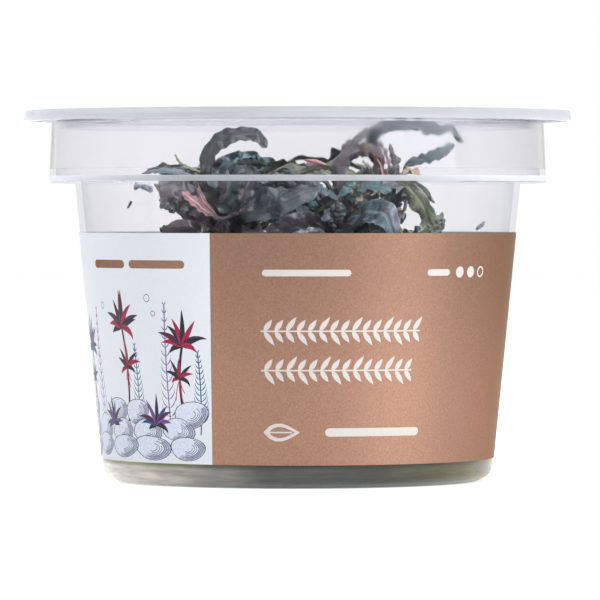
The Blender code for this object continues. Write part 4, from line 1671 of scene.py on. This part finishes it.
# %% [markdown]
# One node group paints every leaf. It reads the marks and lays down, in order, the blade's
# mottled green, a purple blush in broad patches, faint side veins that sweep forward from the
# midrib, the midrib itself, a pale edge, the underside, and last the dull pink stalk. Each
# tone of leaf gives it its own blade, blush, vein and underside.

# %% Measures of the leaf's pattern
BLUSH_SCALE = 150.0
BLUSH_DETAIL = 3.0
BLUSH_EDGES = (0.47, 0.66)
BLUSH_STRENGTH = 0.8
SIDE_VEINS = 19.0
SIDE_VEIN_SWEEP = 2.6
SIDE_VEIN_EDGES = (0.6, 1.0)
SIDE_VEIN_STRENGTH = 0.22
MIDRIB_EDGES = (0.05, 0.2)
PALE_MARGIN = (0.8, 1.0)
STALK_FADE = (0.2, 0.38)
VEIN_DEPTH = 0.6
GLOSSIEST = 0.16
GLOSS_CHANGE = 0.35
print("a leaf has", round(SIDE_VEINS), "side veins, and its stalk's colour ends at", STALK_FADE[1])

# %% The leaf group
def make_leaf_group():
    """Builds the group that turns a leaf's marks and colours into its skin."""
    group, given, result = new_group(
        "leaf surface",
        (
            ("Coordinates", VECTOR, (0, 0, 0)),
            ("Along", NUMBER, 0.5),
            ("Across", NUMBER, 0.0),
            ("Under", NUMBER, 0.0),
            ("Shade", NUMBER, 1.0),
            ("Blade", COLOUR, (0.05, 0.1, 0.1, 1)),
            ("Blush", COLOUR, (0.1, 0.06, 0.08, 1)),
            ("Vein", COLOUR, (0.1, 0.15, 0.1, 1)),
            ("Underside", COLOUR, (0.1, 0.05, 0.05, 1)),
            ("Stalk", COLOUR, (0.4, 0.2, 0.18, 1)),
        ),
        (("Colour", COLOUR), ("Height", NUMBER), ("Gloss", NUMBER)),
    )
    coordinates = given["Coordinates"]
    blade = use_group(
        group, mottle, Coordinates=coordinates, Colour=given["Blade"],
        Patch_Scale=380.0, Patch_Strength=0.9,
        Grain_Scale=1500.0, Grain_Strength=0.55,
    )
    patchy = add_noise(group, coordinates, BLUSH_SCALE, BLUSH_DETAIL)
    blushing = add_range(group, patchy, *BLUSH_EDGES, 0.0, BLUSH_STRENGTH)
    blushed = add_mix(group, blushing, blade["Colour"], given["Blush"])
    aside = add_math(group, "ABSOLUTE", given["Across"])
    sweep = add_math(group, "MULTIPLY", aside, SIDE_VEIN_SWEEP)
    along = add_math(group, "MULTIPLY", given["Along"], SIDE_VEINS)
    ribs = add_math(group, "SUBTRACT", along, sweep)
    ribs = add_math(group, "SINE", add_math(group, "MULTIPLY", ribs, math.tau))
    side_veins = add_range(group, ribs, *SIDE_VEIN_EDGES)
    midrib = add_range(group, aside, *MIDRIB_EDGES, 1.0, 0.0)
    faint = add_math(group, "MULTIPLY", side_veins, SIDE_VEIN_STRENGTH)
    veins = add_math(group, "MAXIMUM", faint, midrib)
    colour = add_mix(group, veins, blushed, given["Vein"])
    edge = add_range(group, aside, *PALE_MARGIN)
    colour = add_mix(group, edge, colour, given["Vein"])
    colour = add_mix(group, given["Under"], colour, given["Underside"])
    stalk = add_range(group, given["Along"], *STALK_FADE, 1.0, 0.0)
    colour = add_mix(group, stalk, colour, given["Stalk"])
    shaded = add_scaled(group, colour, given["Shade"])
    group.links.new(shaded, result["Colour"])
    patches = blade["Patches"]
    height = add_math(group, "MULTIPLY_ADD", veins, -VEIN_DEPTH, patches)
    group.links.new(height, result["Height"])
    gloss = add_math(group, "MULTIPLY_ADD", patches, GLOSS_CHANGE, GLOSSIEST)
    group.links.new(gloss, result["Gloss"])
    return group


leaf_group = make_leaf_group()
print("the group", leaf_group.name, "has", len(leaf_group.nodes), "nodes")

# %% The tones of the leaves
LEAF_ROUGHNESS = 0.35
# Each tone has the colours of its blade, blush, veins and underside.
TONES = {
    "slate": ((0.07, 0.11, 0.13), (0.13, 0.095, 0.12), (0.16, 0.2, 0.21), (0.095, 0.075, 0.085)),
    "teal": ((0.022, 0.066, 0.07), (0.04, 0.062, 0.09), (0.055, 0.11, 0.105), (0.05, 0.065, 0.058)),
    "olive": ((0.115, 0.145, 0.075), (0.18, 0.165, 0.09), (0.23, 0.26, 0.15), (0.15, 0.14, 0.085)),
    "plum": ((0.1, 0.086, 0.1), (0.18, 0.118, 0.128), (0.24, 0.18, 0.185), (0.145, 0.095, 0.1)),
    "tan": ((0.3, 0.22, 0.13), (0.34, 0.24, 0.18), (0.4, 0.31, 0.21), (0.24, 0.16, 0.1)),
    "lime": ((0.42, 0.46, 0.14), (0.5, 0.45, 0.2), (0.55, 0.55, 0.25), (0.4, 0.38, 0.14)),
    "pink": ((0.4, 0.18, 0.18), (0.2, 0.085, 0.09), (0.62, 0.4, 0.38), (0.3, 0.13, 0.13)),
    "faded": ((0.25, 0.255, 0.31), (0.3, 0.28, 0.32), (0.34, 0.35, 0.4), (0.22, 0.225, 0.26)),
}
STALK_COLOUR = (0.24, 0.155, 0.145, 1)


def mark_value(tree, name):
    """What a vertex mark says, as a socket."""
    node = add_node(tree, "Attribute")
    node.attribute_name = name
    return node.outputs["Fac"]


def make_leaf_material(tone, group):
    """The satin skin of a leaf in one of the tones."""
    blade, blush, vein, underside = ((*colour, 1) for colour in TONES[tone])
    material, tree, shader = new_material(
        tone + " leaf", LEAF_ROUGHNESS, Coat_Weight=0.6, Coat_Roughness=0.12
    )
    look = use_group(
        tree, group, Coordinates=place_coordinates(tree),
        Along=mark_value(tree, "leaf_along"), Across=mark_value(tree, "leaf_across"),
        Under=mark_value(tree, "leaf_under"), Shade=mark_value(tree, "leaf_shade"),
        Blade=blade, Blush=blush, Vein=vein, Underside=underside, Stalk=STALK_COLOUR,
    )
    tree.links.new(look["Colour"], shader.inputs["Base Color"])
    tree.links.new(look["Gloss"], shader.inputs["Roughness"])
    add_bump(tree, shader, look["Height"], strength=0.8, distance=0.3 * MM)
    return material


leaf_materials = {tone: make_leaf_material(tone, leaf_group) for tone in TONES}
print(len(leaf_materials), "tones of leaf")

# %% [markdown]
# Every leaf gets its ripples, its twist and its shade by chance, from a fixed seed. The leaves
# that show plainly in the photograph keep to what is seen there, in `OWN_LOOKS`.

# %% Leaves with looks of their own
# A shade here is partly painted light: it darkens leaves that the lamps light too brightly and lightens
# leaves that too little light reaches.
OWN_LOOKS = {
    "leaf_front_left_1": {"shade": 0.65},
    "leaf_front_left_2": {"roll": 12, "shade": 0.9},
    "leaf_front_left_3": {
        "width": 3.5, "stalk": 0.08, "blunt": 0.22, "twist": 0,
        "ripple": 0.22, "ripples": 13, "shade": 0.18,
    },
    "leaf_front_left_4": {"ripple": 0.9, "ripples": 7, "shade": 0.9},
    "leaf_front_left_6": {"ripple": 0.35, "ripples": 3, "twist": 0, "shade": 0.3},
    "leaf_front_left_7": {"width": 2.9, "roll": 40, "ripple": 0.3, "shade": 0.85},
    "leaf_front_middle_2": {"width": 2.4, "roll": 15, "ripple": 0.3, "shade": 0.5},
    "leaf_front_middle_4": {"ripple": 0.5, "ripples": 4, "shade": 1.2},
    "leaf_front_middle_5": {"shade": 0.55},
    "leaf_front_middle_7": {"shade": 1.2},
    "leaf_right_1": {
        "width": 5.2, "blunt": 0.4, "twist": 0, "ripple": 0.3, "ripples": 9, "shade": 0.35,
    },
    "leaf_right_2": {"width": 2.4, "blunt": 0.4, "ripple": 0.35, "ripples": 8, "shade": 0.5},
    "leaf_right_3": {"width": 3.2, "shade": 0.35},
    "leaf_right_4": {"width": 2.2, "shade": 0.55},
    "leaf_back_right_1": {"width": 3.0, "ripple": 0.15, "shade": 0.4},
    "leaf_right_6": {"width": 4.0, "stalk": 0.2, "ripple": 0.7, "ripples": 4, "shade": 1.15},
}
print(len(OWN_LOOKS), "leaves have looks of their own")

# %% Growing the leaves on their stems
LEAF_STATIONS = 52
LEAF_COLUMNS = 4
STALK_DEPTH = 0.8 * MM
chance = random.Random(11)
grown = []


def mesh_tree(mesh):
    """A search tree of a mesh, which tells whether another mesh crosses it."""
    return BVHTree.FromPolygons(
        [vert.co for vert in mesh.vertices], [tuple(face.vertices) for face in mesh.polygons]
    )


def grow_leaf(solid, stem, node, points, width, roll, tone):
    """A detailed leaf in place of a leaf solid, rooted in its stem."""
    root = leaf_base(stem, node, points[0], stem_radius(node) - STALK_DEPTH)
    way = smooth_way([root, *points], LEAF_STATIONS)
    blade = Blade(
        width,
        roll,
        chance.uniform(-25, 25),
        width * chance.uniform(0.1, 0.18),
        chance.uniform(4.0, 7.5),
        chance.uniform(0, math.tau),
        chance.uniform(0.7, 1.35),
    )
    blade = blade._replace(**OWN_LOOKS.get(solid, {}))
    edit = new_leaf_edit()
    spread_leaf(edit, way, blade, LEAF_COLUMNS)
    leaf = new_piece(solid.replace("leaf_", "") + "_leaf", edit)
    leaf.data.materials.append(leaf_materials[tone])
    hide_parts(solid)
    grown.append(mesh_tree(leaf.data))


for stem, leaves in PLACED_LEAVES.items():
    for number, spec in enumerate(leaves, 1):
        solid = f"leaf_{stem}_{number}"
        points = millimetres(spec.way)
        points.insert(0, leaf_base(stem, spec.node, points[0]))
        grow_leaf(solid, stem, spec.node, points, spec.width, spec.roll, spec.tone)

worst_fit = 0.0
for stem, whorl in WHORLS.items():
    for number in range(whorl.count):
        solid = f"leaf_{stem}_{number + 1}"
        miss, points = whorl_leaf_points(stem, whorl, number, solid)
        worst_fit = max(worst_fit, miss)
        node = 1 - (1 - whorl.last_node) * number / (whorl.count - 1)
        tone = whorl.tones[number % len(whorl.tones)]
        grow_leaf(solid, stem, node, points, whorl.width, 0, tone)
print("winding leaves fit their solids within", round(worst_fit / MM, 2), "mm")

# %% [markdown]
# ## Young leaves
# Between the big leaves each stem carries many small ones, and they make the tangle so dense
# that hardly any light gets through it. They are too small to be solids of their own. They are
# grown by chance, from a fixed seed so that they are the same each time: a leaf sets off from
# its stem, bends a little as it goes, and is kept if it stays in the cup, leaves the gaps free
# that the photograph shows, and touches no other leaf outside its own sheath.

# %% The room that young leaves have
LEAF_CLEARANCE = 0.7 * MM
TANGLE_LEFT = -24.2 * MM
TANGLE_RIGHT = 17.6 * MM
TANGLE_TOPS = ((-19.0, 54.0), (4.0, 55.8), (26.0, 56.4))
GAPS = (
    (-24.0, -19.8, 44.2, 46.3),
    (12.2, 15.7, 47.6, 49.6),
    (6.0, 7.2, 47.0, 48.4),
    (3.4, 6.4, 50.4, 51.4),
)


def seen_from_front(point):
    """Where a point shows from the front, as (x, z) in millimetres on the cup's middle plane."""
    nearness = (point.y - CAMERA_PLACE[1]) / -CAMERA_PLACE[1]
    eye = CAMERA_PLACE[2]
    return point.x / nearness / MM, (eye + (point.z - eye) / nearness) / MM


def has_room(way, half_blade):
    """Whether a leaf stays in the cup, over the gel and out of the gaps that are seen."""
    for point in way:
        if math.hypot(point.x, point.y) > body_radius(point.z) - CUP_WALL - LEAF_CLEARANCE:
            return False
        if point.z < GEL_TOP + LEAF_CLEARANCE:
            return False
        x, z = seen_from_front(point)
        if point.z < LABEL_TOP:
            continue
        if not TANGLE_LEFT < point.x < TANGLE_RIGHT:
            return False
        top = next(height for right, height in TANGLE_TOPS if x < right)
        if z + half_blade > top:
            return False
        if any(left < x < right and low < z < high for left, right, low, high in GAPS):
            return False
    return True


print(len(GAPS), "gaps between the leaves stay free")

# %% [markdown]
# A few small leaves and loose stalks show plainly at the front, so they are placed one by one,
# before chance fills the room between them. Each has the stem that it belongs to, its tone,
# its width and the points of its way.

# %% Small leaves placed one by one
LEFT, MIDDLE, RIGHT = "front_left", "front_middle", "right"
SMALL_LEAVES = (
    (LEFT, "pink", 2, ((-13.2, -25.6, 45.3), (-15.3, -25.6, 46.5), (-17.1, -25.6, 48), (-19.6, -25.6, 50))),
    (LEFT, "plum", 1.7, ((-15, -26, 46.4), (-12.8, -26.2, 45.4), (-9.6, -26.6, 46.6), (-7, -26.6, 48.8))),
    (LEFT, "pink", 0.8, ((-13.9, -25, 46.2), (-15.6, -25, 48), (-16.5, -25, 49.7), (-16.8, -25, 51.2))),
    (LEFT, "slate", 0.4, ((-28.9, -21, 47.2), (-28.6, -21.2, 47.6), (-28.2, -21.4, 48.4))),
    (RIGHT, "faded", 0.9, ((30.5, -18, 43.6), (31.3, -17.4, 44.2), (31.9, -17, 44.9))),
    (LEFT, "lime", 0.8, ((-22, -22, 48.5), (-23.3, -22, 49.9), (-24.3, -22, 51.4))),
    (LEFT, "slate", 2.4, ((-19.3, -21, 51.8), (-21.7, -21, 50.9), (-22.8, -21, 48.9), (-21.3, -21, 46.3))),
    (LEFT, "olive", 0.7, ((-16.6, -19, 53.3), (-19, -19, 54.3), (-20.2, -19, 55.2), (-20.8, -19, 56.4))),
    (LEFT, "olive", 0.8, ((-15.9, -18, 53), (-19.3, -18, 54), (-21.7, -18, 54.2), (-23.9, -18, 53.5))),
    (LEFT, "slate", 1.1, ((-17.2, -22, 52.3), (-20.3, -22, 53.3), (-23.4, -22, 53.5), (-26.6, -22, 53))),
    (RIGHT, "olive", 1.6, ((20.9, -22, 42.4), (22.4, -22, 43.5), (25.1, -22, 45.3))),
    (RIGHT, "slate", 0.6, ((19.8, -20, 51.3), (20.9, -20, 50.1), (22.5, -20, 48))),
    (MIDDLE, "pink", 0.9, ((4.9, -14, 54.4), (3.1, -14, 55), (1.1, -14, 55.4))),
    (MIDDLE, "pink", 1.2, ((5.9, -16, 53), (6.5, -16, 54.2), (7.9, -16, 55.5))),
    (RIGHT, "pink", 1.1, ((16.2, -11, 51.6), (15.7, -11, 54.4), (15, -11, 56.6), (14, -11, 58.7))),
    (RIGHT, "pink", 0.9,
     ((14.8, -11.6, 52), (14.1, -11.6, 54.4), (12.8, -11.6, 56.5), (10.9, -11.6, 57.7))),
    (RIGHT, "plum", 1.2, ((17.2, -12, 51.6), (16.9, -12, 54), (16.2, -12, 56.1), (15.7, -12, 58.3))),
    (MIDDLE, "teal", 1.7, ((6.7, -24.6, 48.7), (5.1, -25, 49.7), (2.9, -24, 50.9))),
    (MIDDLE, "teal", 1.6, ((7, -24.6, 49.1), (8.2, -25, 50.2), (10, -24, 51.6))),
    (MIDDLE, "slate", 1.8, ((7.2, -24.6, 48.5), (8.9, -25, 48), (10.5, -24, 46.9))),
    (MIDDLE, "teal", 1.9, ((6.7, -24.6, 48.2), (7.2, -25.2, 46.7), (6.8, -24, 44.8))),
    (MIDDLE, "olive", 1.5, ((6.3, -24.6, 48.4), (4.6, -25, 47.5), (2.8, -24, 46))),
    (LEFT, "faded", 2.6, ((-27.4, -23.6, 50.9), (-26, -24.4, 50.6), (-24.6, -25.2, 49.9))),
    (LEFT, "teal", 2, ((-11.9, -14, 53.3), (-9.8, -14, 54.5), (-7.1, -14, 55), (-4.4, -14, 54.4))),
    (LEFT, "olive", 1.8, ((-6.1, -12, 53.4), (-3.7, -12, 54.5), (-1, -12, 54.7), (1.8, -12, 54.1))),
    (LEFT, "slate", 1.8, ((-15.7, -10, 53), (-14, -10, 54.4), (-11.9, -10, 55.2), (-9.9, -10, 54.7))),
    (MIDDLE, "olive", 1.6, ((-0.3, -17.6, 52.9), (2.5, -17.6, 53.8), (4.8, -17.6, 54), (6.9, -17.6, 53.1))),
    (LEFT, "slate", 2.8, ((-8.5, -6, 52.4), (-5.2, -6.6, 53.7), (-1.6, -7, 54.2), (2.4, -7.4, 53.2))),
    (LEFT, "teal", 2.6, ((-16.8, -4, 52), (-13.6, -4, 53.6), (-9.8, -3.6, 54.3), (-6.4, -3, 53.8))),
    (MIDDLE, "slate", 2.4, ((-3.4, -1, 52.4), (0, -1.4, 53.8), (3.6, -1.6, 54.4), (6.6, -2, 53.6))),
    (LEFT, "olive", 2.2, ((-23.4, -12, 51.6), (-20, -12, 53), (-16.6, -12.4, 53.9), (-13.4, -12.6, 53.4))),
)
print(len(SMALL_LEAVES), "small leaves placed by hand")

# %% Ways and blades of young leaves
YOUNG_NODES = (0.78, 1.0)
YOUNG_STATIONS = 21
CROWNED_STEMS = [name for name in STEMS if not name.startswith("low")]


def nearest_stem(place):
    """The stem whose crown is nearest to a place, and the height at which a leaf leaves it."""
    node = chance.uniform(*YOUNG_NODES)
    stems = {name: stem_point(name, node)[0] for name in CROWNED_STEMS}
    name = min(stems, key=lambda name: (stems[name] - place).length)
    return name, node, (stems[name] - place).length


def reaching_way(stem, node, target):
    """A way from a stem to a place, arched upward and swerving a little."""
    root = leaf_base(stem, node, target, stem_radius(node) * 0.7)
    reach = target - root
    aside = reach.cross(Vector((0, 0, 1))).normalized()
    rise = reach.length * chance.uniform(0.05, 0.4)
    swerve = aside * reach.length * chance.uniform(-0.25, 0.25)
    points = [root]
    for share, lift in ((0.3, 0.75), (0.68, 1.0)):
        points.append(root + reach * share + Vector((0, 0, rise * lift)) + swerve * lift)
    points.append(target)
    return smooth_way(points, YOUNG_STATIONS)


def young_blade(width):
    """A blade whose ripples, twist and shade are left to chance."""
    return Blade(
        width,
        chance.uniform(-70, 70),
        chance.uniform(-60, 60),
        width * chance.uniform(0.12, 0.26),
        chance.uniform(4.0, 9.0),
        chance.uniform(0, math.tau),
        chance.uniform(0.4, 1.8),
    )


print("young leaves grow from", len(CROWNED_STEMS), "of the stems")

# %% Trying a place for a young leaf
YOUNG_REACH = (7.0 * MM, 19.0 * MM)
YOUNG_WIDTHS = (1.7, 3.9)
YOUNG_COLUMNS = 2
YOUNG_TRIES = 40
FREE_STATION = 6


def free_tree(way, blade):
    """The search tree of a leaf outside its own sheath."""
    test = new_leaf_edit()
    spread_leaf(test, way, blade, YOUNG_COLUMNS, FREE_STATION)
    tree = BVHTree.FromBMesh(test)
    test.free()
    return tree


def young_leaf(low, high):
    """A stem, a way and a blade that reach a place between two corners, or nothing."""
    for _ in range(YOUNG_TRIES):
        shares = [chance.random() for _ in range(3)]
        place = [start + (end - start) * share for start, end, share in zip(low, high, shares)]
        target = Vector(place) * MM
        stem, node, distance = nearest_stem(target)
        if not YOUNG_REACH[0] < distance < YOUNG_REACH[1]:
            continue
        way = reaching_way(stem, node, target)
        blade = young_blade(chance.uniform(*YOUNG_WIDTHS))
        if not has_room(way, blade.width / 2):
            continue
        tree = free_tree(way, blade)
        if not any(tree.overlap(other) for other in grown):
            grown.append(tree)
            return stem, way, blade
    return None


print("up to", YOUNG_TRIES, "tries for each young leaf")

# %% Growing the young leaves
# Each field is a box, given by two corners, and the number of leaves that are tried in it.
YOUNG_FIELDS = (
    ((-24.0, -22.0, 51.0), (5.0, 12.0, 54.6), 70),
    ((-24.0, -28.0, 42.0), (17.4, 22.0, 55.4), 330),
)
YOUNG_TONES = ("slate", "teal", "slate", "olive", "slate", "plum", "teal")
SMALL_LEAF_BLUNTNESS = 0.45


def add_young_leaf(edit, way, blade, tone):
    """Adds a young leaf to an edited mesh, with the material slot of its tone."""
    first_face = len(edit.faces)
    spread_leaf(edit, way, blade, YOUNG_COLUMNS)
    edit.faces.ensure_lookup_table()
    for index in range(first_face, len(edit.faces)):
        edit.faces[index].material_index = list(TONES).index(tone)


def grow_young_leaves():
    """Every young leaf, joined into one piece for each stem."""
    edits = {stem: new_leaf_edit() for stem in CROWNED_STEMS}
    for stem, tone, width, points in SMALL_LEAVES:
        way = smooth_way(millimetres(points), YOUNG_STATIONS)
        blade = young_blade(width)._replace(stalk=0.0, blunt=SMALL_LEAF_BLUNTNESS)
        grown.append(free_tree(way, blade))
        add_young_leaf(edits[stem], way, blade, tone)
    made = 0
    for low, high, count in YOUNG_FIELDS:
        for number in range(count):
            found = young_leaf(low, high)
            if found:
                stem, way, blade = found
                add_young_leaf(edits[stem], way, blade, YOUNG_TONES[number % len(YOUNG_TONES)])
                made += 1
    for stem, edit in edits.items():
        piece = new_piece(stem + "_young_leaves", edit)
        for tone in TONES:
            piece.data.materials.append(leaf_materials[tone])
    return made


young = grow_young_leaves()
print(young, "young leaves found room")

# %% [markdown]
# ## The stems
# A stem is a creeping rhizome, ringed by the scars of old leaves. Turning it as a tube of
# even rings and swelling every few rings gives the scars. The roots are tubes as well, and
# both have a matte, mottled bark, so a helper for each is made once.

# %% Tubes and bark
BARK_ROUGHNESS = 0.5


def add_tube(edit, way, first_side, sides, radii):
    """Adds a closed tube to an edited mesh, with one radius for each point of its way."""
    headings = directions(way)
    rings = []
    for index, side in enumerate(carried(way, first_side)):
        other = headings[index].cross(side)
        ring = []
        for step in range(sides):
            angle = math.tau * step / sides
            spoke = side * math.cos(angle) + other * math.sin(angle)
            ring.append(edit.verts.new(way[index] + spoke * radii[index]))
        rings.append(ring)
    for lower, upper in zip(rings, rings[1:]):
        for step in range(sides):
            after = (step + 1) % sides
            edit.faces.new((lower[step], lower[after], upper[after], upper[step]))
    edit.faces.new(rings[0][::-1])
    edit.faces.new(rings[-1])


def make_bark(name, colour, patches, grain, relief, strength, distance):
    """A matte mottled skin. Patches and grain are (scale, strength), relief is one of the two."""
    material, tree, shader = new_material(name, BARK_ROUGHNESS)
    look = use_group(
        tree, mottle, Coordinates=place_coordinates(tree), Colour=colour,
        Patch_Scale=patches[0], Patch_Strength=patches[1],
        Grain_Scale=grain[0], Grain_Strength=grain[1],
    )
    tree.links.new(look["Colour"], shader.inputs["Base Color"])
    add_bump(tree, shader, look[relief], strength, distance)
    return material


stem_bark = make_bark(
    "ringed stem", (0.17, 0.115, 0.07, 1), (300.0, 0.7), (1800.0, 0.4), "Patches", 0.6, 0.3 * MM
)
root_bark = make_bark(
    "pale root", (0.56, 0.45, 0.3, 1), (400.0, 0.5), (2600.0, 0.3), "Grain", 0.3, 0.1 * MM
)
print("made", stem_bark.name, "and", root_bark.name)

# %% Stems
STEM_SIDES = 20
STEM_STATIONS = 56
SCAR_RINGS = 9
SCAR_SWELL = 0.1
SCAR_SHARPNESS = 6
END_TAPER = 18
END_SHARE = 0.25


def ringed_stem(name, points):
    """A stem that swells at its scars and tapers quickly at its tip."""
    radii = []
    for index in range(STEM_STATIONS):
        share = index / (STEM_STATIONS - 1)
        scar = abs(math.sin(math.pi * SCAR_RINGS * share)) ** SCAR_SHARPNESS
        end = min(1.0, (1 - share) * END_TAPER + END_SHARE)
        radii.append(stem_radius(share) * (1 + SCAR_SWELL * scar) * end)
    edit = bmesh.new()
    way = smooth_way(millimetres(points), STEM_STATIONS)
    add_tube(edit, way, Vector((1, 0, 0)), STEM_SIDES, radii)
    return new_piece(name, edit)


for name, points in STEMS.items():
    stem = ringed_stem(name + "_stem", points)
    stem.data.materials.append(stem_bark)
    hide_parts("stem_" + name)
print(len(STEMS), "stems")

# %% [markdown]
# ## Roots and scraps in the gel
# Bucephalandra roots are pale, wiry and grow in every direction from the rhizome into the gel.
# A few bleached scraps of leaf lie in it too, and show as yellow-green slivers at the foot.
# Each root is a thin tapering tube along the same kind of smooth way as the leaves.

# %% Roots
ROOTS_PER_STEM = 9
ROOT_SIDES = 6
ROOT_STATIONS = 16
ROOT_RADIUS = 0.38 * MM
ROOT_TAPER = 0.8
ROOT_FIRST_SIDE = Vector((0.3, 0.2, 1))
ROOT_LOW = 2.9 * MM
ROOT_CLEARANCE = 1.0 * MM


def root_way(stem):
    """A root's way: out of the stem's foot, then wandering towards the wall near the floor."""
    start, _ = stem_point(stem, chance.uniform(0.02, 0.16))
    turn = chance.uniform(0, math.tau)
    points = [start]
    step = chance.uniform(3.5, 7.5) * MM
    for _ in range(4):
        turn += chance.uniform(-0.6, 0.6)
        last = points[-1]
        place = last + Vector((math.cos(turn), math.sin(turn), 0)) * step
        wanted = last.z + chance.uniform(-2.6, 1.2) * MM
        place.z = max(ROOT_LOW, min(GEL_TOP - ROOT_CLEARANCE, wanted))
        limit = body_radius(place.z) - CUP_WALL - ROOT_CLEARANCE
        away = math.hypot(place.x, place.y)
        if away > limit:
            place.x *= limit / away
            place.y *= limit / away
        points.append(place)
    return smooth_way(points, ROOT_STATIONS)


root_radii = [ROOT_RADIUS * (1 - ROOT_TAPER * step / ROOT_STATIONS) for step in range(ROOT_STATIONS)]
edit = bmesh.new()
for stem in STEMS:
    for _ in range(ROOTS_PER_STEM):
        add_tube(edit, root_way(stem), ROOT_FIRST_SIDE, ROOT_SIDES, root_radii)
roots = new_piece("roots", edit)
roots.data.materials.append(root_bark)
print(len(STEMS) * ROOTS_PER_STEM, "roots")

# %% Scraps of leaf at the foot
SCRAPS = (
    ((-25.6, -17.4, 5.0), (-19.6, -24.0, 4.6), 3.2),
    ((-22.4, -21.0, 3.6), (-15.4, -26.4, 3.9), 2.6),
    ((24.4, -19.4, 5.2), (29.6, -11.4, 4.2), 3.4),
    ((26.4, -16.4, 3.4), (30.6, -5.4, 3.9), 2.8),
    ((-29.4, -8.4, 4.8), (-27.0, -14.4, 3.8), 3.0),
    ((4.0, 26.0, 5.0), (-6.0, 28.4, 4.2), 3.2),
)
SCRAP_SAG = Vector((0, 0, 0.5)) * MM

edit = new_leaf_edit()
for start, end, width in SCRAPS:
    first, last = millimetres((start, end))
    way = smooth_way([first, first.lerp(last, 0.5) + SCRAP_SAG, last], YOUNG_STATIONS)
    blade = Blade(width, chance.uniform(-30, 30), 30, 0.2, 2.4, chance.uniform(0, math.tau), 1.0)
    spread_leaf(edit, way, blade, YOUNG_COLUMNS)
scraps = new_piece("leaf_scraps", edit)
scraps.data.materials.append(leaf_materials["lime"])
print(len(SCRAPS), "scraps of leaf")
